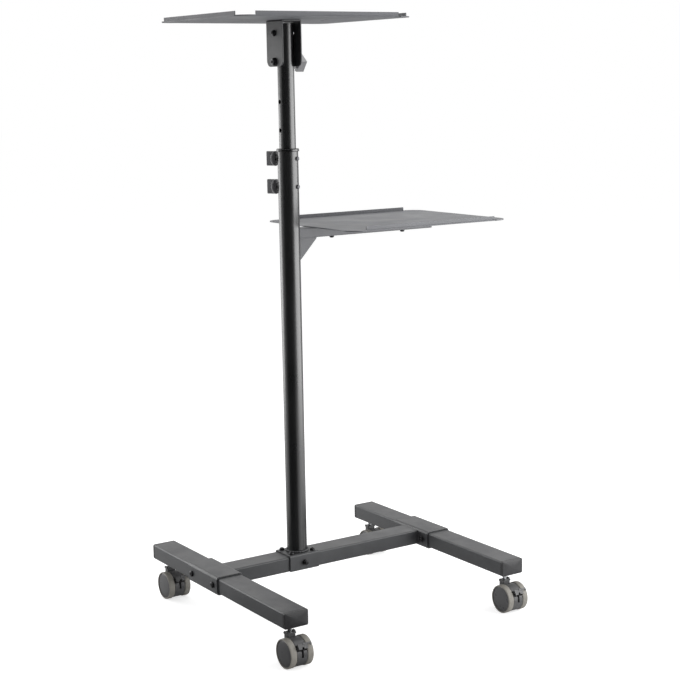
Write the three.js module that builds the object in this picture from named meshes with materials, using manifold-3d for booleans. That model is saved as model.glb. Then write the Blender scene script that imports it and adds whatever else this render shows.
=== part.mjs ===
// Audio visual cart: a wheeled base, a telescopic mast, a fixed lower shelf and a tilting top tray.
// Millimetres. X runs along the crossbar, +Y is the back, +Z is up, and the floor is at Z = 0.
import * as THREE from 'three';
import { mergeVertices } from 'three/addons/utils/BufferGeometryUtils.js';
import Module from 'manifold-3d';

const wasm = await Module();
wasm.setup();

// Clearances and how far a cutter runs past what it cuts
const seat = 0.3;
const turningGap = 0.3;
const overrun = 4;

// Steps on round forms
const cornerSteps = 2;
const bendSteps = 4;
const archSteps = 12;
const tubeSteps = 32;
const pinSteps = 12;
const wheelSteps = 24;
const knobSteps = 24;

// Base tubes
const baseTubeWide = 50;
const baseTubeTall = 30;
const baseTubeWall = 2;
const baseTubeCorner = 3;
const legFrontReach = 294;
const legBackReach = 211;
const mastToLeftLeg = 188;
const mastToRightLeg = 309;

// Plugs that close the leg tubes
const plugRim = 6;
const plugPoint = 3;
const plugDepth = 12;
const plugWall = 2;

// Sleeves round the legs and the bolts through them
const sleeveLong = 116;
const sleeveWall = 3;
const sleeveBoltSpread = 84;
const boltRadius = 3;
const boltHeadRadius = 6;
const boltHeadTall = 3.5;
const boltHeadRim = 1;
const nutRadius = 6;
const nutTall = 5;

// Saddle over the crossbar and its bolts
const saddleLong = 67;
const saddleWall = 3;
const saddleCorner = 4;
const saddleBoltSpreadX = 49;
const saddleBoltSpreadY = 37;
const saddleBoltHeadRadius = 5.3;
const saddleBoltHeadTall = 4.5;
const saddleBoltBite = 7;
const crossBoltEnd = 4;

// Mast
const outerMastRadius = 20;
const outerMastWall = 2;
const outerMastLong = 794;
const innerMastRadius = 16;
const innerMastWall = 2;
const innerMastShow = 241;
const innerMastLong = 496;
const footWeldWide = 3.3;
const footWeldTall = 4.5;
const collarRadius = 22;
const collarTall = 5.5;
const collarSkirt = 8;
const guideTall = 12;
const guideSpigot = 15;
const heightHolePitch = 54;
const heightHoleRadius = 4.2;
const heightHoleCountAbove = 2;
const heightHoleCountBelow = 4;

// Clamp knobs, their bosses and the plugs opposite. The knobs point to the left and back of the mast.
const clampTurnDegrees = -63;
const upperKnobDrop = 13.5;
const bossRadius = 8;
const bossTall = 4.5;
const backPlugRadius = 4;
const backPlugTall = 3.5;
const knobRadius = 14.5;
const knobTall = 6.5;
const knobEdge = 1.5;
const knobBackRadius = 8;
const knobBackTall = 2.2;
const knobNeckRadius = 5.5;
const clampNeckTall = 1.5;
const knobStudRadius = 3;
const clampWingLong = 28;
const clampWingTall = 14;
const wingThick = 8;

// Top bracket and its tilt bolt
const bracketDeep = 58;
const bracketWall = 2.5;
const bracketSideGap = 0.5;
const bracketTopGap = 3.5;
const bracketDrop = 86.5;
const bracketCorner = 12;
const bracketBend = 3;
const tiltBoltRise = 9;
const tiltBoltRadius = 4;
const tiltBoltHeadRadius = 8;
const tiltBoltHeadTall = 6;
const lockHolePitch = 53.5;
const lockHeadRadius = 6;
const lockHeadTall = 5;
const tiltNeckTall = 3.5;
const tiltWingLong = 38;
const tiltWingTall = 15;
const tiltKnobTurnDegrees = -18;

// Sheet metal of the tray and the shelf
const sheet = 2;
const plateLong = 380;
const plateDeep = 320;
const plateCorner = 30;
const lipTall = 9;
const lipBend = 3;
const lipEndRound = 4;
const longLip = 308;
const shortLip = 272;
const lipRelief = 2;
const strapSlotLong = 30;
const strapSlotWide = 8;
const strapSlotSpread = 178;
const trayScrewSpread = 37;
const trayScrewRadius = 3;
const trayScrewHeadRadius = 5;
const trayScrewHeadTall = 1.8;

// Lower shelf
const shelfDrop = 145.6;
const shelfToMast = 18;
const armWide = 30;
const armTall = 20;
const armWall = 2;
const armCorner = 2.5;
const armReach = 332;
const gussetReach = 60.5;
const gussetDrop = 43;
const gussetThick = 4;
const gussetNose = 3;
const shelfScrewFirst = 97;
const shelfScrewPitch = 171;
const shelfScrewRadius = 3;
const shelfScrewHeadRadius = 5;
const shelfScrewHeadTall = 4.5;

// Casters
const casterTall = 75;
const casterInset = 18;
const casterTrail = 16;
const wheelRadius = 27.5;
const wheelWide = 12.5;
const tyreThick = 2.6;
const tyreRound = 1.8;
const hubRecess = 0.5;
const hubBoreDeep = 8;
const axleRadius = 3;
const housingWide = 21;
const wheelSideGap = 0.75;
const archInset = 0.5;
const archFrontDegrees = 44;
const archBackDegrees = 192;
const axleBossRadius = 8;
const axleBossBackDegrees = 235;
const axleBossFrontDegrees = 290;
const chinBottomDegrees = 298;
const chinTopDegrees = 378;
const notchLow = [13, 10];
const notchHigh = [14.5, 17.8];
const neckWide = 17;
const neckDeep = 14;
const neckTopWide = 20;
const neckTopDeep = 12;
const neckTopTall = 3;
const neckHornWide = 3;
const neckHornDeep = 8;
const neckHornTall = 2.2;
const stemShow = 15;
const stemRadius = 4;
const stemCollarRadius = 5;
const stemCollarTall = 2.7;
const stemUp = 20;
const stemBoreDeep = 15;
const leverPivotInset = 8;
const leverPivotDegrees = 50;
const leverKnuckleRadius = 4.3;
const leverWide = 20;
const leverBarThick = 4;
const leverAimDegrees = 33;
const pedalGap = 3.5;
const pedalThick = 3;
const pedalDeep = 12;
const pedalLeft = 10;
const pedalRight = 19;

// Heights and places that follow from the sizes above
const legMiddle = casterTall + baseTubeTall / 2;
const legTop = casterTall + baseTubeTall;
const sleeveHalfWide = baseTubeWide / 2 + seat + sleeveWall;
const crossbarLeft = -mastToLeftLeg + sleeveHalfWide + seat;
const crossbarRight = mastToRightLeg - sleeveHalfWide - seat;
const saddleTop = legTop + seat + saddleWall;
const mastFoot = saddleTop + seat;
const outerMastTop = mastFoot + outerMastLong;
const innerMastTop = outerMastTop + innerMastShow;
const upperKnobHeight = outerMastTop - upperKnobDrop;
const lowerKnobHeight = upperKnobHeight - heightHolePitch;
const bracketHalfInner = innerMastRadius + bracketSideGap;
const bracketHalfOuter = bracketHalfInner + bracketWall;
const bracketTop = innerMastTop + bracketTopGap + bracketWall;
const bracketBottom = bracketTop - bracketDrop;
const tiltBoltHeight = bracketBottom + tiltBoltRise;
const knobGrip = knobTall * 0.8;
const trayBottom = bracketTop + seat;
const shelfLeft = outerMastRadius + shelfToMast;
const shelfMiddle = shelfLeft + plateLong / 2;
const shelfTop = outerMastTop - shelfDrop;
const armTop = shelfTop - sheet - seat;
const armBottom = armTop - armTall;
const frontCasterY = -legFrontReach + casterInset;
const backCasterY = legBackReach - casterInset;
const archRadius = wheelRadius - archInset;
const housingTop = casterTall - stemShow;
const wheelMiddle = housingWide / 2 + wheelSideGap + wheelWide / 2;
const pedalInner = wheelRadius + pedalGap;
const leverAim = THREE.MathUtils.degToRad(leverAimDegrees);
const pedalReach = (pedalInner + pedalThick) * Math.cos(leverAim) + pedalDeep / 2 * Math.sin(leverAim);

// Materials, one for each finish
function finish(color, roughness, metalness) {
  return new THREE.MeshStandardMaterial({ color, roughness, metalness });
}
const blackCoat = () => finish('#333436', 0.55, 0.35);
const mastCoat = () => finish('#26272a', 0.45, 0.35);
const plateCoat = () => finish('#4a4b4d', 0.6, 0.35);
const blackPlastic = () => finish('#2a2a2b', 0.6, 0);
const blackBolt = () => finish('#1e1e20', 0.4, 0.6);
const brightSteel = () => finish('#c6c8ca', 0.25, 1);
const greyTyre = () => finish('#9b9a98', 0.75, 0);

// Closed solids and how they are joined and cut
function solidOf(geometry) {
  const bare = geometry.index ? geometry.toNonIndexed() : geometry.clone();
  for (const name of Object.keys(bare.attributes)) {
    if (name !== 'position') bare.deleteAttribute(name);
  }
  const merged = mergeVertices(bare, 1e-4);
  const vertProperties = new Float32Array(merged.attributes.position.array);
  const corners = Array.from(merged.index.array);
  const triVerts = [];
  for (let i = 0; i < corners.length; i += 3) {
    const [a, b, c] = corners.slice(i, i + 3);
    if (a !== b && b !== c && c !== a) triVerts.push(a, b, c);
  }
  const mesh = new wasm.Mesh({ numProp: 3, vertProperties, triVerts: new Uint32Array(triVerts) });
  return new wasm.Manifold(mesh);
}

function geometryOf(solid) {
  const mesh = solid.getMesh();
  const geometry = new THREE.BufferGeometry();
  const places = new THREE.BufferAttribute(new Float32Array(mesh.vertProperties), 3);
  geometry.setAttribute('position', places);
  geometry.setIndex(new THREE.BufferAttribute(new Uint32Array(mesh.triVerts), 1));
  const faceted = geometry.toNonIndexed();
  faceted.computeVertexNormals();
  return faceted;
}

function cut(geometry, cutters) {
  let solid = solidOf(geometry);
  for (const cutter of cutters) solid = solid.subtract(solidOf(cutter));
  return geometryOf(solid);
}

function join(geometries) {
  let solid = solidOf(geometries[0]);
  for (const geometry of geometries.slice(1)) solid = solid.add(solidOf(geometry));
  return geometryOf(solid);
}

function common(first, second) {
  return geometryOf(solidOf(first).intersect(solidOf(second)));
}

// Sections, and the ways that they are run
function roundedShape(wide, tall, corner, Kind = THREE.Shape) {
  const x = wide / 2 - corner;
  const y = tall / 2 - corner;
  const shape = new Kind();
  shape.absarc(x, y, corner, 0, Math.PI / 2);
  shape.absarc(-x, y, corner, Math.PI / 2, Math.PI);
  shape.absarc(-x, -y, corner, Math.PI, Math.PI * 3 / 2);
  shape.absarc(x, -y, corner, Math.PI * 3 / 2, Math.PI * 2);
  shape.closePath();
  return shape;
}

function boxTubeShape(wide, tall, corner, wall) {
  const shape = roundedShape(wide, tall, corner);
  const boreCorner = Math.max(corner - wall, wall / 4);
  shape.holes.push(roundedShape(wide - 2 * wall, tall - 2 * wall, boreCorner, THREE.Path));
  return shape;
}

function runUp(shape, length, steps = cornerSteps) {
  return new THREE.ExtrudeGeometry(shape, { depth: length, bevelEnabled: false, curveSegments: steps });
}

// A section drawn in X and Z, run along Y and centred on it
function runDeep(shape, length, steps = cornerSteps) {
  const geometry = runUp(shape, length, steps);
  geometry.rotateX(Math.PI / 2);
  geometry.translate(0, length / 2, 0);
  return geometry;
}

// A section drawn in Y and Z, run along X and centred on it
function runAcross(shape, length, steps = cornerSteps) {
  const geometry = runUp(shape, length, steps);
  geometry.rotateX(Math.PI / 2);
  geometry.rotateZ(Math.PI / 2);
  geometry.translate(-length / 2, 0, 0);
  return geometry;
}

// Round bars centred on the origin
function barUp(radius, length, steps = pinSteps) {
  const geometry = new THREE.CylinderGeometry(radius, radius, length, steps);
  geometry.rotateX(Math.PI / 2);
  return geometry;
}

function barAcross(radius, length, steps = pinSteps) {
  const geometry = new THREE.CylinderGeometry(radius, radius, length, steps);
  geometry.rotateZ(Math.PI / 2);
  return geometry;
}

function barDeep(radius, length, steps = pinSteps) {
  return new THREE.CylinderGeometry(radius, radius, length, steps);
}

// A closed profile of radius and height, listed upwards on its outside and turned about Z
function turned(profile, steps) {
  const points = profile.map(([radius, height]) => new THREE.Vector2(radius, height));
  const geometry = new THREE.LatheGeometry(points, steps);
  geometry.rotateX(Math.PI / 2);
  return geometryOf(solidOf(geometry));
}

function moved(geometry, x, y, z) {
  const copy = geometry.clone();
  copy.translate(x, y, z);
  return copy;
}

function domedBolt(headRadius, headTall, radius, length) {
  return turned([
    [0, -length],
    [radius, -length],
    [radius, 0],
    [headRadius, 0],
    [headRadius, boltHeadRim],
    [headRadius * 0.75, headTall * 0.8],
    [headRadius * 0.35, headTall],
    [0, headTall],
  ], pinSteps);
}

function hexagon(radius, tall) {
  return barUp(radius, tall, 6);
}

// Base
const casterPlaces = [
  ['front_left', -mastToLeftLeg, frontCasterY],
  ['back_left', -mastToLeftLeg, backCasterY],
  ['front_right', mastToRightLeg, frontCasterY],
  ['back_right', mastToRightLeg, backCasterY],
];

function leg(x) {
  const length = legFrontReach + legBackReach;
  const section = boxTubeShape(baseTubeWide, baseTubeTall, baseTubeCorner, baseTubeWall);
  const tube = runDeep(section, length);
  const middleY = (legBackReach - legFrontReach) / 2;
  const cutters = [-1, 1].map((side) => moved(
    barAcross(boltRadius + seat, baseTubeWide + 2 * overrun),
    x,
    side * sleeveBoltSpread / 2,
    legMiddle,
  ));
  for (const y of [frontCasterY, backCasterY]) {
    const stemHole = barUp(stemRadius + seat, 2 * overrun);
    cutters.push(moved(stemHole, x, y, casterTall));
  }
  return cut(moved(tube, x, middleY, legMiddle), cutters);
}

// A plug has a blunt pyramid of a face: it points towards -Y from a tube end at Y = 0
function legPlug() {
  const capLong = plugRim + plugPoint;
  const cap = runDeep(roundedShape(baseTubeWide, baseTubeTall, baseTubeCorner), capLong);
  const growth = capLong / plugPoint;
  const pyramid = new THREE.CylinderGeometry(0, Math.SQRT1_2, 1, 4);
  pyramid.rotateY(Math.PI / 4);
  pyramid.rotateX(Math.PI);
  pyramid.scale(baseTubeWide * growth, capLong, baseTubeTall * growth);
  const insideWide = baseTubeWide - 2 * (baseTubeWall + seat);
  const insideTall = baseTubeTall - 2 * (baseTubeWall + seat);
  const spigot = boxTubeShape(insideWide, insideTall, plugWall, plugWall);
  return join([
    moved(common(cap, pyramid), 0, -capLong / 2 - seat, 0),
    moved(runDeep(spigot, plugDepth + plugRim / 2), 0, (plugDepth - plugRim / 2) / 2, 0),
  ]);
}

function placedPlug(x, towardsBack) {
  const plug = legPlug();
  if (towardsBack) plug.rotateZ(Math.PI);
  return moved(plug, x, towardsBack ? legBackReach : -legFrontReach, legMiddle);
}

function crossbar() {
  const section = boxTubeShape(baseTubeWide, baseTubeTall, baseTubeCorner, baseTubeWall);
  const tube = runAcross(section, crossbarRight - crossbarLeft);
  const cutters = saddleBoltPlaces.map(([x, y]) => moved(
    barUp(boltRadius + seat, 2 * overrun),
    x,
    y,
    legTop,
  ));
  cutters.push(moved(barDeep(boltRadius + seat, baseTubeWide + 2 * overrun), 0, 0, legMiddle));
  return cut(moved(tube, (crossbarLeft + crossbarRight) / 2, 0, legMiddle), cutters);
}

function sleeve(x) {
  const wide = baseTubeWide + 2 * (seat + sleeveWall);
  const tall = baseTubeTall + 2 * (seat + sleeveWall);
  const section = boxTubeShape(wide, tall, baseTubeCorner + sleeveWall, sleeveWall);
  const cutters = [-1, 1].map((side) => moved(
    barAcross(boltRadius + seat, wide + 2 * overrun),
    x,
    side * sleeveBoltSpread / 2,
    legMiddle,
  ));
  return cut(moved(runDeep(section, sleeveLong), x, 0, legMiddle), cutters);
}

// A bolt along Z, its head seated at Z = 0, its nut tightened under what it holds and its end past the nut
function boltWithNut(headRadius, headTall, grip, end = boltRadius / 2) {
  const length = grip + seat + nutTall + end;
  const bolt = domedBolt(headRadius, headTall, boltRadius, length);
  const nut = moved(hexagon(nutRadius, nutTall), 0, 0, -grip - seat - nutTall / 2);
  return join([bolt, nut]);
}

// Each sleeve bolt has its head on the outer face and its nut on the inner face
function sleeveBolt(x, outerSide, y) {
  const bolt = boltWithNut(boltHeadRadius, boltHeadTall, 2 * sleeveHalfWide + seat);
  bolt.rotateY(outerSide * Math.PI / 2);
  return moved(bolt, x + outerSide * (sleeveHalfWide + seat), y, legMiddle);
}

// Saddle and mast foot
const saddleBoltPlaces = [-1, 1].flatMap((sideX) => [-1, 1].map((sideY) => [
  sideX * saddleBoltSpreadX / 2,
  sideY * saddleBoltSpreadY / 2,
]));

function saddle() {
  const half = baseTubeWide / 2 + seat;
  const wide = 2 * (half + saddleWall);
  const tall = baseTubeTall + seat + saddleWall;
  const outer = runAcross(roundedShape(wide, 2 * tall, saddleCorner), saddleLong);
  const inside = roundedShape(2 * half, 2 * (tall - saddleWall), saddleWall);
  const inner = runAcross(inside, saddleLong + overrun);
  const below = new THREE.BoxGeometry(saddleLong + overrun, wide + overrun, tall + overrun);
  below.translate(0, 0, -(tall + overrun) / 2);
  const folded = moved(cut(outer, [inner, below]), 0, 0, casterTall);
  const cutters = saddleBoltPlaces.map(([x, y]) => moved(
    barUp(boltRadius + seat, 2 * overrun),
    x,
    y,
    saddleTop,
  ));
  cutters.push(moved(barDeep(boltRadius + seat, wide + 2 * overrun), 0, 0, legMiddle));
  return cut(folded, cutters);
}

function saddleCornerBolt(x, y) {
  const bolt = domedBolt(saddleBoltHeadRadius, saddleBoltHeadTall, boltRadius, saddleBoltBite);
  return moved(bolt, x, y, saddleTop + seat);
}

// The cross bolt has its head at the back and its nut in front
function saddleCrossBolt() {
  const halfDeep = baseTubeWide / 2 + seat + saddleWall;
  const bolt = boltWithNut(saddleBoltHeadRadius, saddleBoltHeadTall, 2 * halfDeep + seat, crossBoltEnd);
  bolt.rotateX(-Math.PI / 2);
  return moved(bolt, 0, halfDeep + seat, legMiddle);
}

// Mast
function roundTube(radius, wall, length) {
  return turned([
    [radius - wall, 0],
    [radius, 0],
    [radius, length],
    [radius - wall, length],
    [radius - wall, 0],
  ], tubeSteps);
}

// The weld bead at the foot, from the tube wall outwards
function footWeld() {
  const inner = outerMastRadius - outerMastWall / 2;
  return turned([
    [inner, 0],
    [outerMastRadius + footWeldWide, 0],
    [outerMastRadius + footWeldWide * 0.7, footWeldTall * 0.6],
    [outerMastRadius + footWeldWide * 0.25, footWeldTall],
    [inner, footWeldTall],
    [inner, 0],
  ], tubeSteps);
}

// Turns a piece that lies along X round the mast, so that its -X end points where the clamp knobs do
function towardsKnobs(piece) {
  const copy = piece.clone();
  copy.rotateZ(THREE.MathUtils.degToRad(clampTurnDegrees));
  return copy;
}

// The outer tube carries welded bosses on the knob side and small plugs opposite them
function outerMast() {
  const bore = barUp(outerMastRadius - outerMastWall, 2 * outerMastLong + overrun, tubeSteps);
  const pieces = [
    moved(barUp(outerMastRadius, outerMastLong, tubeSteps), 0, 0, outerMastLong / 2),
    footWeld(),
  ];
  const cutters = [bore];
  for (const height of [upperKnobHeight - mastFoot, lowerKnobHeight - mastFoot]) {
    const bossReach = outerMastRadius + bossTall;
    const plugReach = outerMastRadius + backPlugTall;
    pieces.push(towardsKnobs(moved(barAcross(bossRadius, bossReach), -bossReach / 2, 0, height)));
    pieces.push(towardsKnobs(moved(barAcross(backPlugRadius, plugReach), plugReach / 2, 0, height)));
    const studHole = barAcross(knobStudRadius + seat, 2 * outerMastRadius);
    cutters.push(towardsKnobs(moved(studHole, -outerMastRadius, 0, height)));
  }
  return moved(cut(join(pieces), cutters), 0, 0, mastFoot);
}

function collar() {
  const inner = innerMastRadius + turningGap;
  const skirt = outerMastRadius - outerMastWall - seat;
  const profile = [
    [inner, -collarSkirt],
    [skirt, -collarSkirt],
    [skirt, 0],
    [collarRadius, 0],
    [collarRadius, collarTall * 0.7],
    [collarRadius - collarTall * 0.3, collarTall],
    [inner, collarTall],
    [inner, -collarSkirt],
  ];
  return moved(turned(profile, tubeSteps), 0, 0, outerMastTop + seat);
}

function innerMast() {
  const bottom = innerMastTop - innerMastLong;
  const tube = moved(roundTube(innerMastRadius, innerMastWall, innerMastLong), 0, 0, bottom);
  const cutters = [];
  for (let step = -heightHoleCountBelow; step <= heightHoleCountAbove; step += 1) {
    const hole = barAcross(heightHoleRadius, innerMastRadius);
    cutters.push(moved(hole, -innerMastRadius, 0, upperKnobHeight + step * heightHolePitch));
  }
  const boltHole = barAcross(tiltBoltRadius + seat, 2 * innerMastRadius + overrun);
  cutters.push(moved(boltHole, 0, 0, tiltBoltHeight));
  return cut(tube, cutters);
}

function mastGuide() {
  const rim = outerMastRadius - outerMastWall - turningGap;
  const spigot = innerMastRadius - innerMastWall - seat;
  const guide = turned([
    [0, -guideTall],
    [rim, -guideTall],
    [rim, 0],
    [spigot, 0],
    [spigot, guideSpigot],
    [0, guideSpigot],
  ], tubeSteps);
  return moved(guide, 0, 0, innerMastTop - innerMastLong - seat);
}

// A wing knob: a disc, a neck and an upright paddle. Its axis is +Z and its tapered back is at Z = 0.
function wingKnob(neckTall, wingLong, wingTall) {
  const hub = turned([
    [0, 0],
    [knobBackRadius, 0],
    [knobRadius, knobBackTall],
    [knobRadius, knobTall - knobEdge],
    [knobRadius - knobEdge, knobTall],
    [0, knobTall],
  ], knobSteps);
  const wingBottom = knobTall + neckTall;
  const neck = moved(barUp(knobNeckRadius, wingBottom), 0, 0, wingBottom / 2 + seat);
  const wing = runUp(roundedShape(wingLong, wingThick, wingThick * 0.45), wingTall);
  return join([hub, neck, moved(wing, 0, 0, wingBottom)]);
}

// The clamp knob's stud is moulded into it and bears on the inner tube
function clampKnob(height) {
  const innerFace = outerMastRadius + bossTall + seat;
  const studLong = innerFace - innerMastRadius - seat;
  const inDisc = knobTall / 2;
  const stud = moved(barUp(knobStudRadius, studLong + inDisc), 0, 0, (inDisc - studLong) / 2);
  const knob = join([wingKnob(clampNeckTall, clampWingLong, clampWingTall), stud]);
  knob.rotateY(-Math.PI / 2);
  return towardsKnobs(moved(knob, -innerFace, 0, height));
}

// Top bracket: a folded U whose flanges straddle the inner tube
function trayBracket() {
  const wide = 2 * bracketHalfOuter;
  const outer = roundedShape(wide, 2 * bracketDrop, bracketBend);
  const inside = bracketDrop - bracketWall;
  const inner = roundedShape(2 * bracketHalfInner, 2 * inside, bracketBend - bracketWall);
  const folded = cut(runDeep(outer, bracketDeep), [runDeep(inner, bracketDeep + overrun)]);
  const flange = roundedShape(bracketDeep, 2 * bracketDrop, bracketCorner);
  const side = runAcross(flange, wide + overrun, bendSteps);
  const bracket = moved(common(folded, moved(side, 0, 0, bracketDrop)), 0, 0, bracketBottom);
  const across = wide + 2 * overrun;
  const cutters = [
    moved(barAcross(tiltBoltRadius + turningGap, across), 0, 0, tiltBoltHeight),
    moved(barAcross(tiltBoltRadius + turningGap, across), 0, 0, tiltBoltHeight + lockHolePitch),
  ];
  for (const side of [-1, 1]) {
    const hole = barUp(trayScrewRadius + seat, 2 * overrun);
    cutters.push(moved(hole, 0, side * trayScrewSpread / 2, bracketTop));
  }
  const lockScrew = domedBolt(lockHeadRadius, lockHeadTall, tiltBoltRadius + 2 * turningGap, bracketWall);
  lockScrew.rotateY(-Math.PI / 2);
  return join([cut(bracket, cutters), moved(lockScrew, -bracketHalfOuter, 0, tiltBoltHeight + lockHolePitch)]);
}

// The tilt bolt has its head on the left flange and its knob on the right flange
function tiltBolt() {
  const headSeat = bracketHalfOuter + seat;
  const bolt = domedBolt(tiltBoltHeadRadius, tiltBoltHeadTall, tiltBoltRadius, 2 * headSeat + knobGrip);
  bolt.rotateY(-Math.PI / 2);
  return moved(bolt, -headSeat, 0, tiltBoltHeight);
}

function tiltKnob() {
  const bore = barUp(tiltBoltRadius + turningGap, 2 * (knobGrip + seat));
  const knob = cut(wingKnob(tiltNeckTall, tiltWingLong, tiltWingTall), [bore]);
  knob.rotateY(Math.PI / 2);
  knob.rotateX(THREE.MathUtils.degToRad(tiltKnobTurnDegrees));
  return moved(knob, bracketHalfOuter + seat, 0, tiltBoltHeight);
}

// Sheet metal plate with raised lips, its underside at Z = 0
function lip(length) {
  const inner = lipBend - sheet;
  const profile = new THREE.Shape();
  profile.moveTo(lipBend + seat, 0);
  profile.lineTo(lipBend, 0);
  profile.absarc(lipBend, lipBend, lipBend, -Math.PI / 2, -Math.PI, true);
  profile.lineTo(0, lipTall);
  profile.lineTo(sheet, lipTall);
  profile.lineTo(sheet, lipBend);
  profile.absarc(lipBend, lipBend, inner, -Math.PI, -Math.PI / 2, false);
  profile.lineTo(lipBend + seat, sheet);
  profile.closePath();
  const folded = runDeep(profile, length);
  const mask = runAcross(roundedShape(length, 2 * lipTall, lipEndRound), 4 * lipBend);
  return common(folded, mask);
}

function plateShape(lipSides) {
  const shape = roundedShape(plateLong, plateDeep, plateCorner);
  const notches = lipSides.map(([length, turn, reach]) => {
    const notch = new THREE.BoxGeometry(2 * lipBend, length + 2 * lipRelief, 2 * overrun);
    notch.translate(-reach, 0, 0);
    notch.rotateZ(turn);
    return notch;
  });
  return cut(runUp(shape, sheet, bendSteps), notches);
}

const longSides = [
  [longLip, Math.PI / 2, plateDeep / 2],
  [longLip, -Math.PI / 2, plateDeep / 2],
];
const shortSides = [
  [shortLip, 0, plateLong / 2],
  [shortLip, Math.PI, plateLong / 2],
];

function strapSlots() {
  const slot = () => roundedShape(strapSlotWide, strapSlotLong, strapSlotWide * 0.45);
  return [-1, 1].map((side) => {
    const cutter = runUp(slot(), 2 * overrun);
    return moved(cutter, side * strapSlotSpread / 2, 0, -overrun);
  });
}

function sheetPlate(lipSides) {
  const lips = lipSides.map(([length, turn, reach]) => {
    const piece = moved(lip(length), -reach, 0, 0);
    piece.rotateZ(turn);
    return piece;
  });
  return join([plateShape(lipSides), ...lips]);
}

// The tray's screws are countersunk, so that their heads lie flush with its top
function countersink() {
  return turned([
    [0, -overrun],
    [trayScrewRadius + seat, -overrun],
    [trayScrewRadius + seat, -trayScrewHeadTall],
    [trayScrewHeadRadius + seat, 0],
    [trayScrewHeadRadius + seat, overrun],
    [0, overrun],
  ], pinSteps);
}

function tray() {
  const holes = [-1, 1].map((side) => moved(
    countersink(),
    0,
    side * trayScrewSpread / 2,
    sheet,
  ));
  const plate = sheetPlate([...longSides, ...shortSides]);
  return moved(cut(plate, [...strapSlots(), ...holes]), 0, 0, trayBottom);
}

function trayScrew(side) {
  const screw = turned([
    [0, -(sheet + seat + bracketWall)],
    [trayScrewRadius, -(sheet + seat + bracketWall)],
    [trayScrewRadius, -trayScrewHeadTall],
    [trayScrewHeadRadius, 0],
    [0, 0],
  ], pinSteps);
  return moved(screw, 0, side * trayScrewSpread / 2, trayBottom + sheet);
}

// Lower shelf, its arm and its gusset. The outer screw goes through the plate, and the inner one stops
// under it.
const innerScrewX = shelfScrewFirst;
const outerScrewX = shelfScrewFirst + shelfScrewPitch;

function shelfPlate() {
  const placed = moved(sheetPlate(longSides), shelfMiddle, 0, shelfTop - sheet);
  return cut(placed, [moved(barUp(shelfScrewRadius + seat, 2 * overrun), outerScrewX, 0, shelfTop)]);
}

function shelfArm() {
  const section = boxTubeShape(armWide, armTall, armCorner, armWall);
  const start = outerMastRadius / 2;
  const tube = runAcross(section, armReach - start);
  const placed = moved(tube, (armReach + start) / 2, 0, armBottom + armTall / 2);
  const mast = moved(barUp(outerMastRadius + seat, 2 * armTall, tubeSteps), 0, 0, armBottom);
  const holes = [innerScrewX, outerScrewX].map((x) => moved(
    barUp(shelfScrewRadius + seat, armTall + 2 * overrun),
    x,
    0,
    armBottom + armTall / 2,
  ));
  return cut(placed, [mast, ...holes]);
}

function shelfGusset() {
  const left = outerMastRadius + seat;
  const shape = new THREE.Shape();
  shape.moveTo(left, 0);
  shape.lineTo(left, -gussetDrop);
  shape.lineTo(left + gussetNose, -gussetDrop);
  shape.lineTo(gussetReach, -gussetNose);
  shape.lineTo(gussetReach, 0);
  shape.closePath();
  return moved(runDeep(shape, gussetThick), 0, 0, armBottom - seat);
}

function shelfScrew(x, tip) {
  const length = tip - armBottom + seat;
  const screw = domedBolt(shelfScrewHeadRadius, shelfScrewHeadTall, shelfScrewRadius, length);
  screw.rotateX(Math.PI);
  return moved(screw, x, 0, armBottom - seat);
}

// Casters, drawn with the stem on the Z axis, the axle in front of it and the floor at Z = 0
function frontOfAxle(radius, degrees) {
  const angle = THREE.MathUtils.degToRad(degrees);
  return [-casterTrail - radius * Math.cos(angle), wheelRadius + radius * Math.sin(angle)];
}

function casterStem() {
  const bottom = housingTop - stemBoreDeep + seat;
  const collarTop = casterTall - seat;
  return turned([
    [0, bottom],
    [stemRadius, bottom],
    [stemRadius, collarTop - stemCollarTall],
    [stemCollarRadius, collarTop - stemCollarTall],
    [stemCollarRadius, collarTop],
    [stemRadius, collarTop],
    [stemRadius, casterTall + stemUp],
    [0, casterTall + stemUp],
  ], pinSteps);
}

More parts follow.
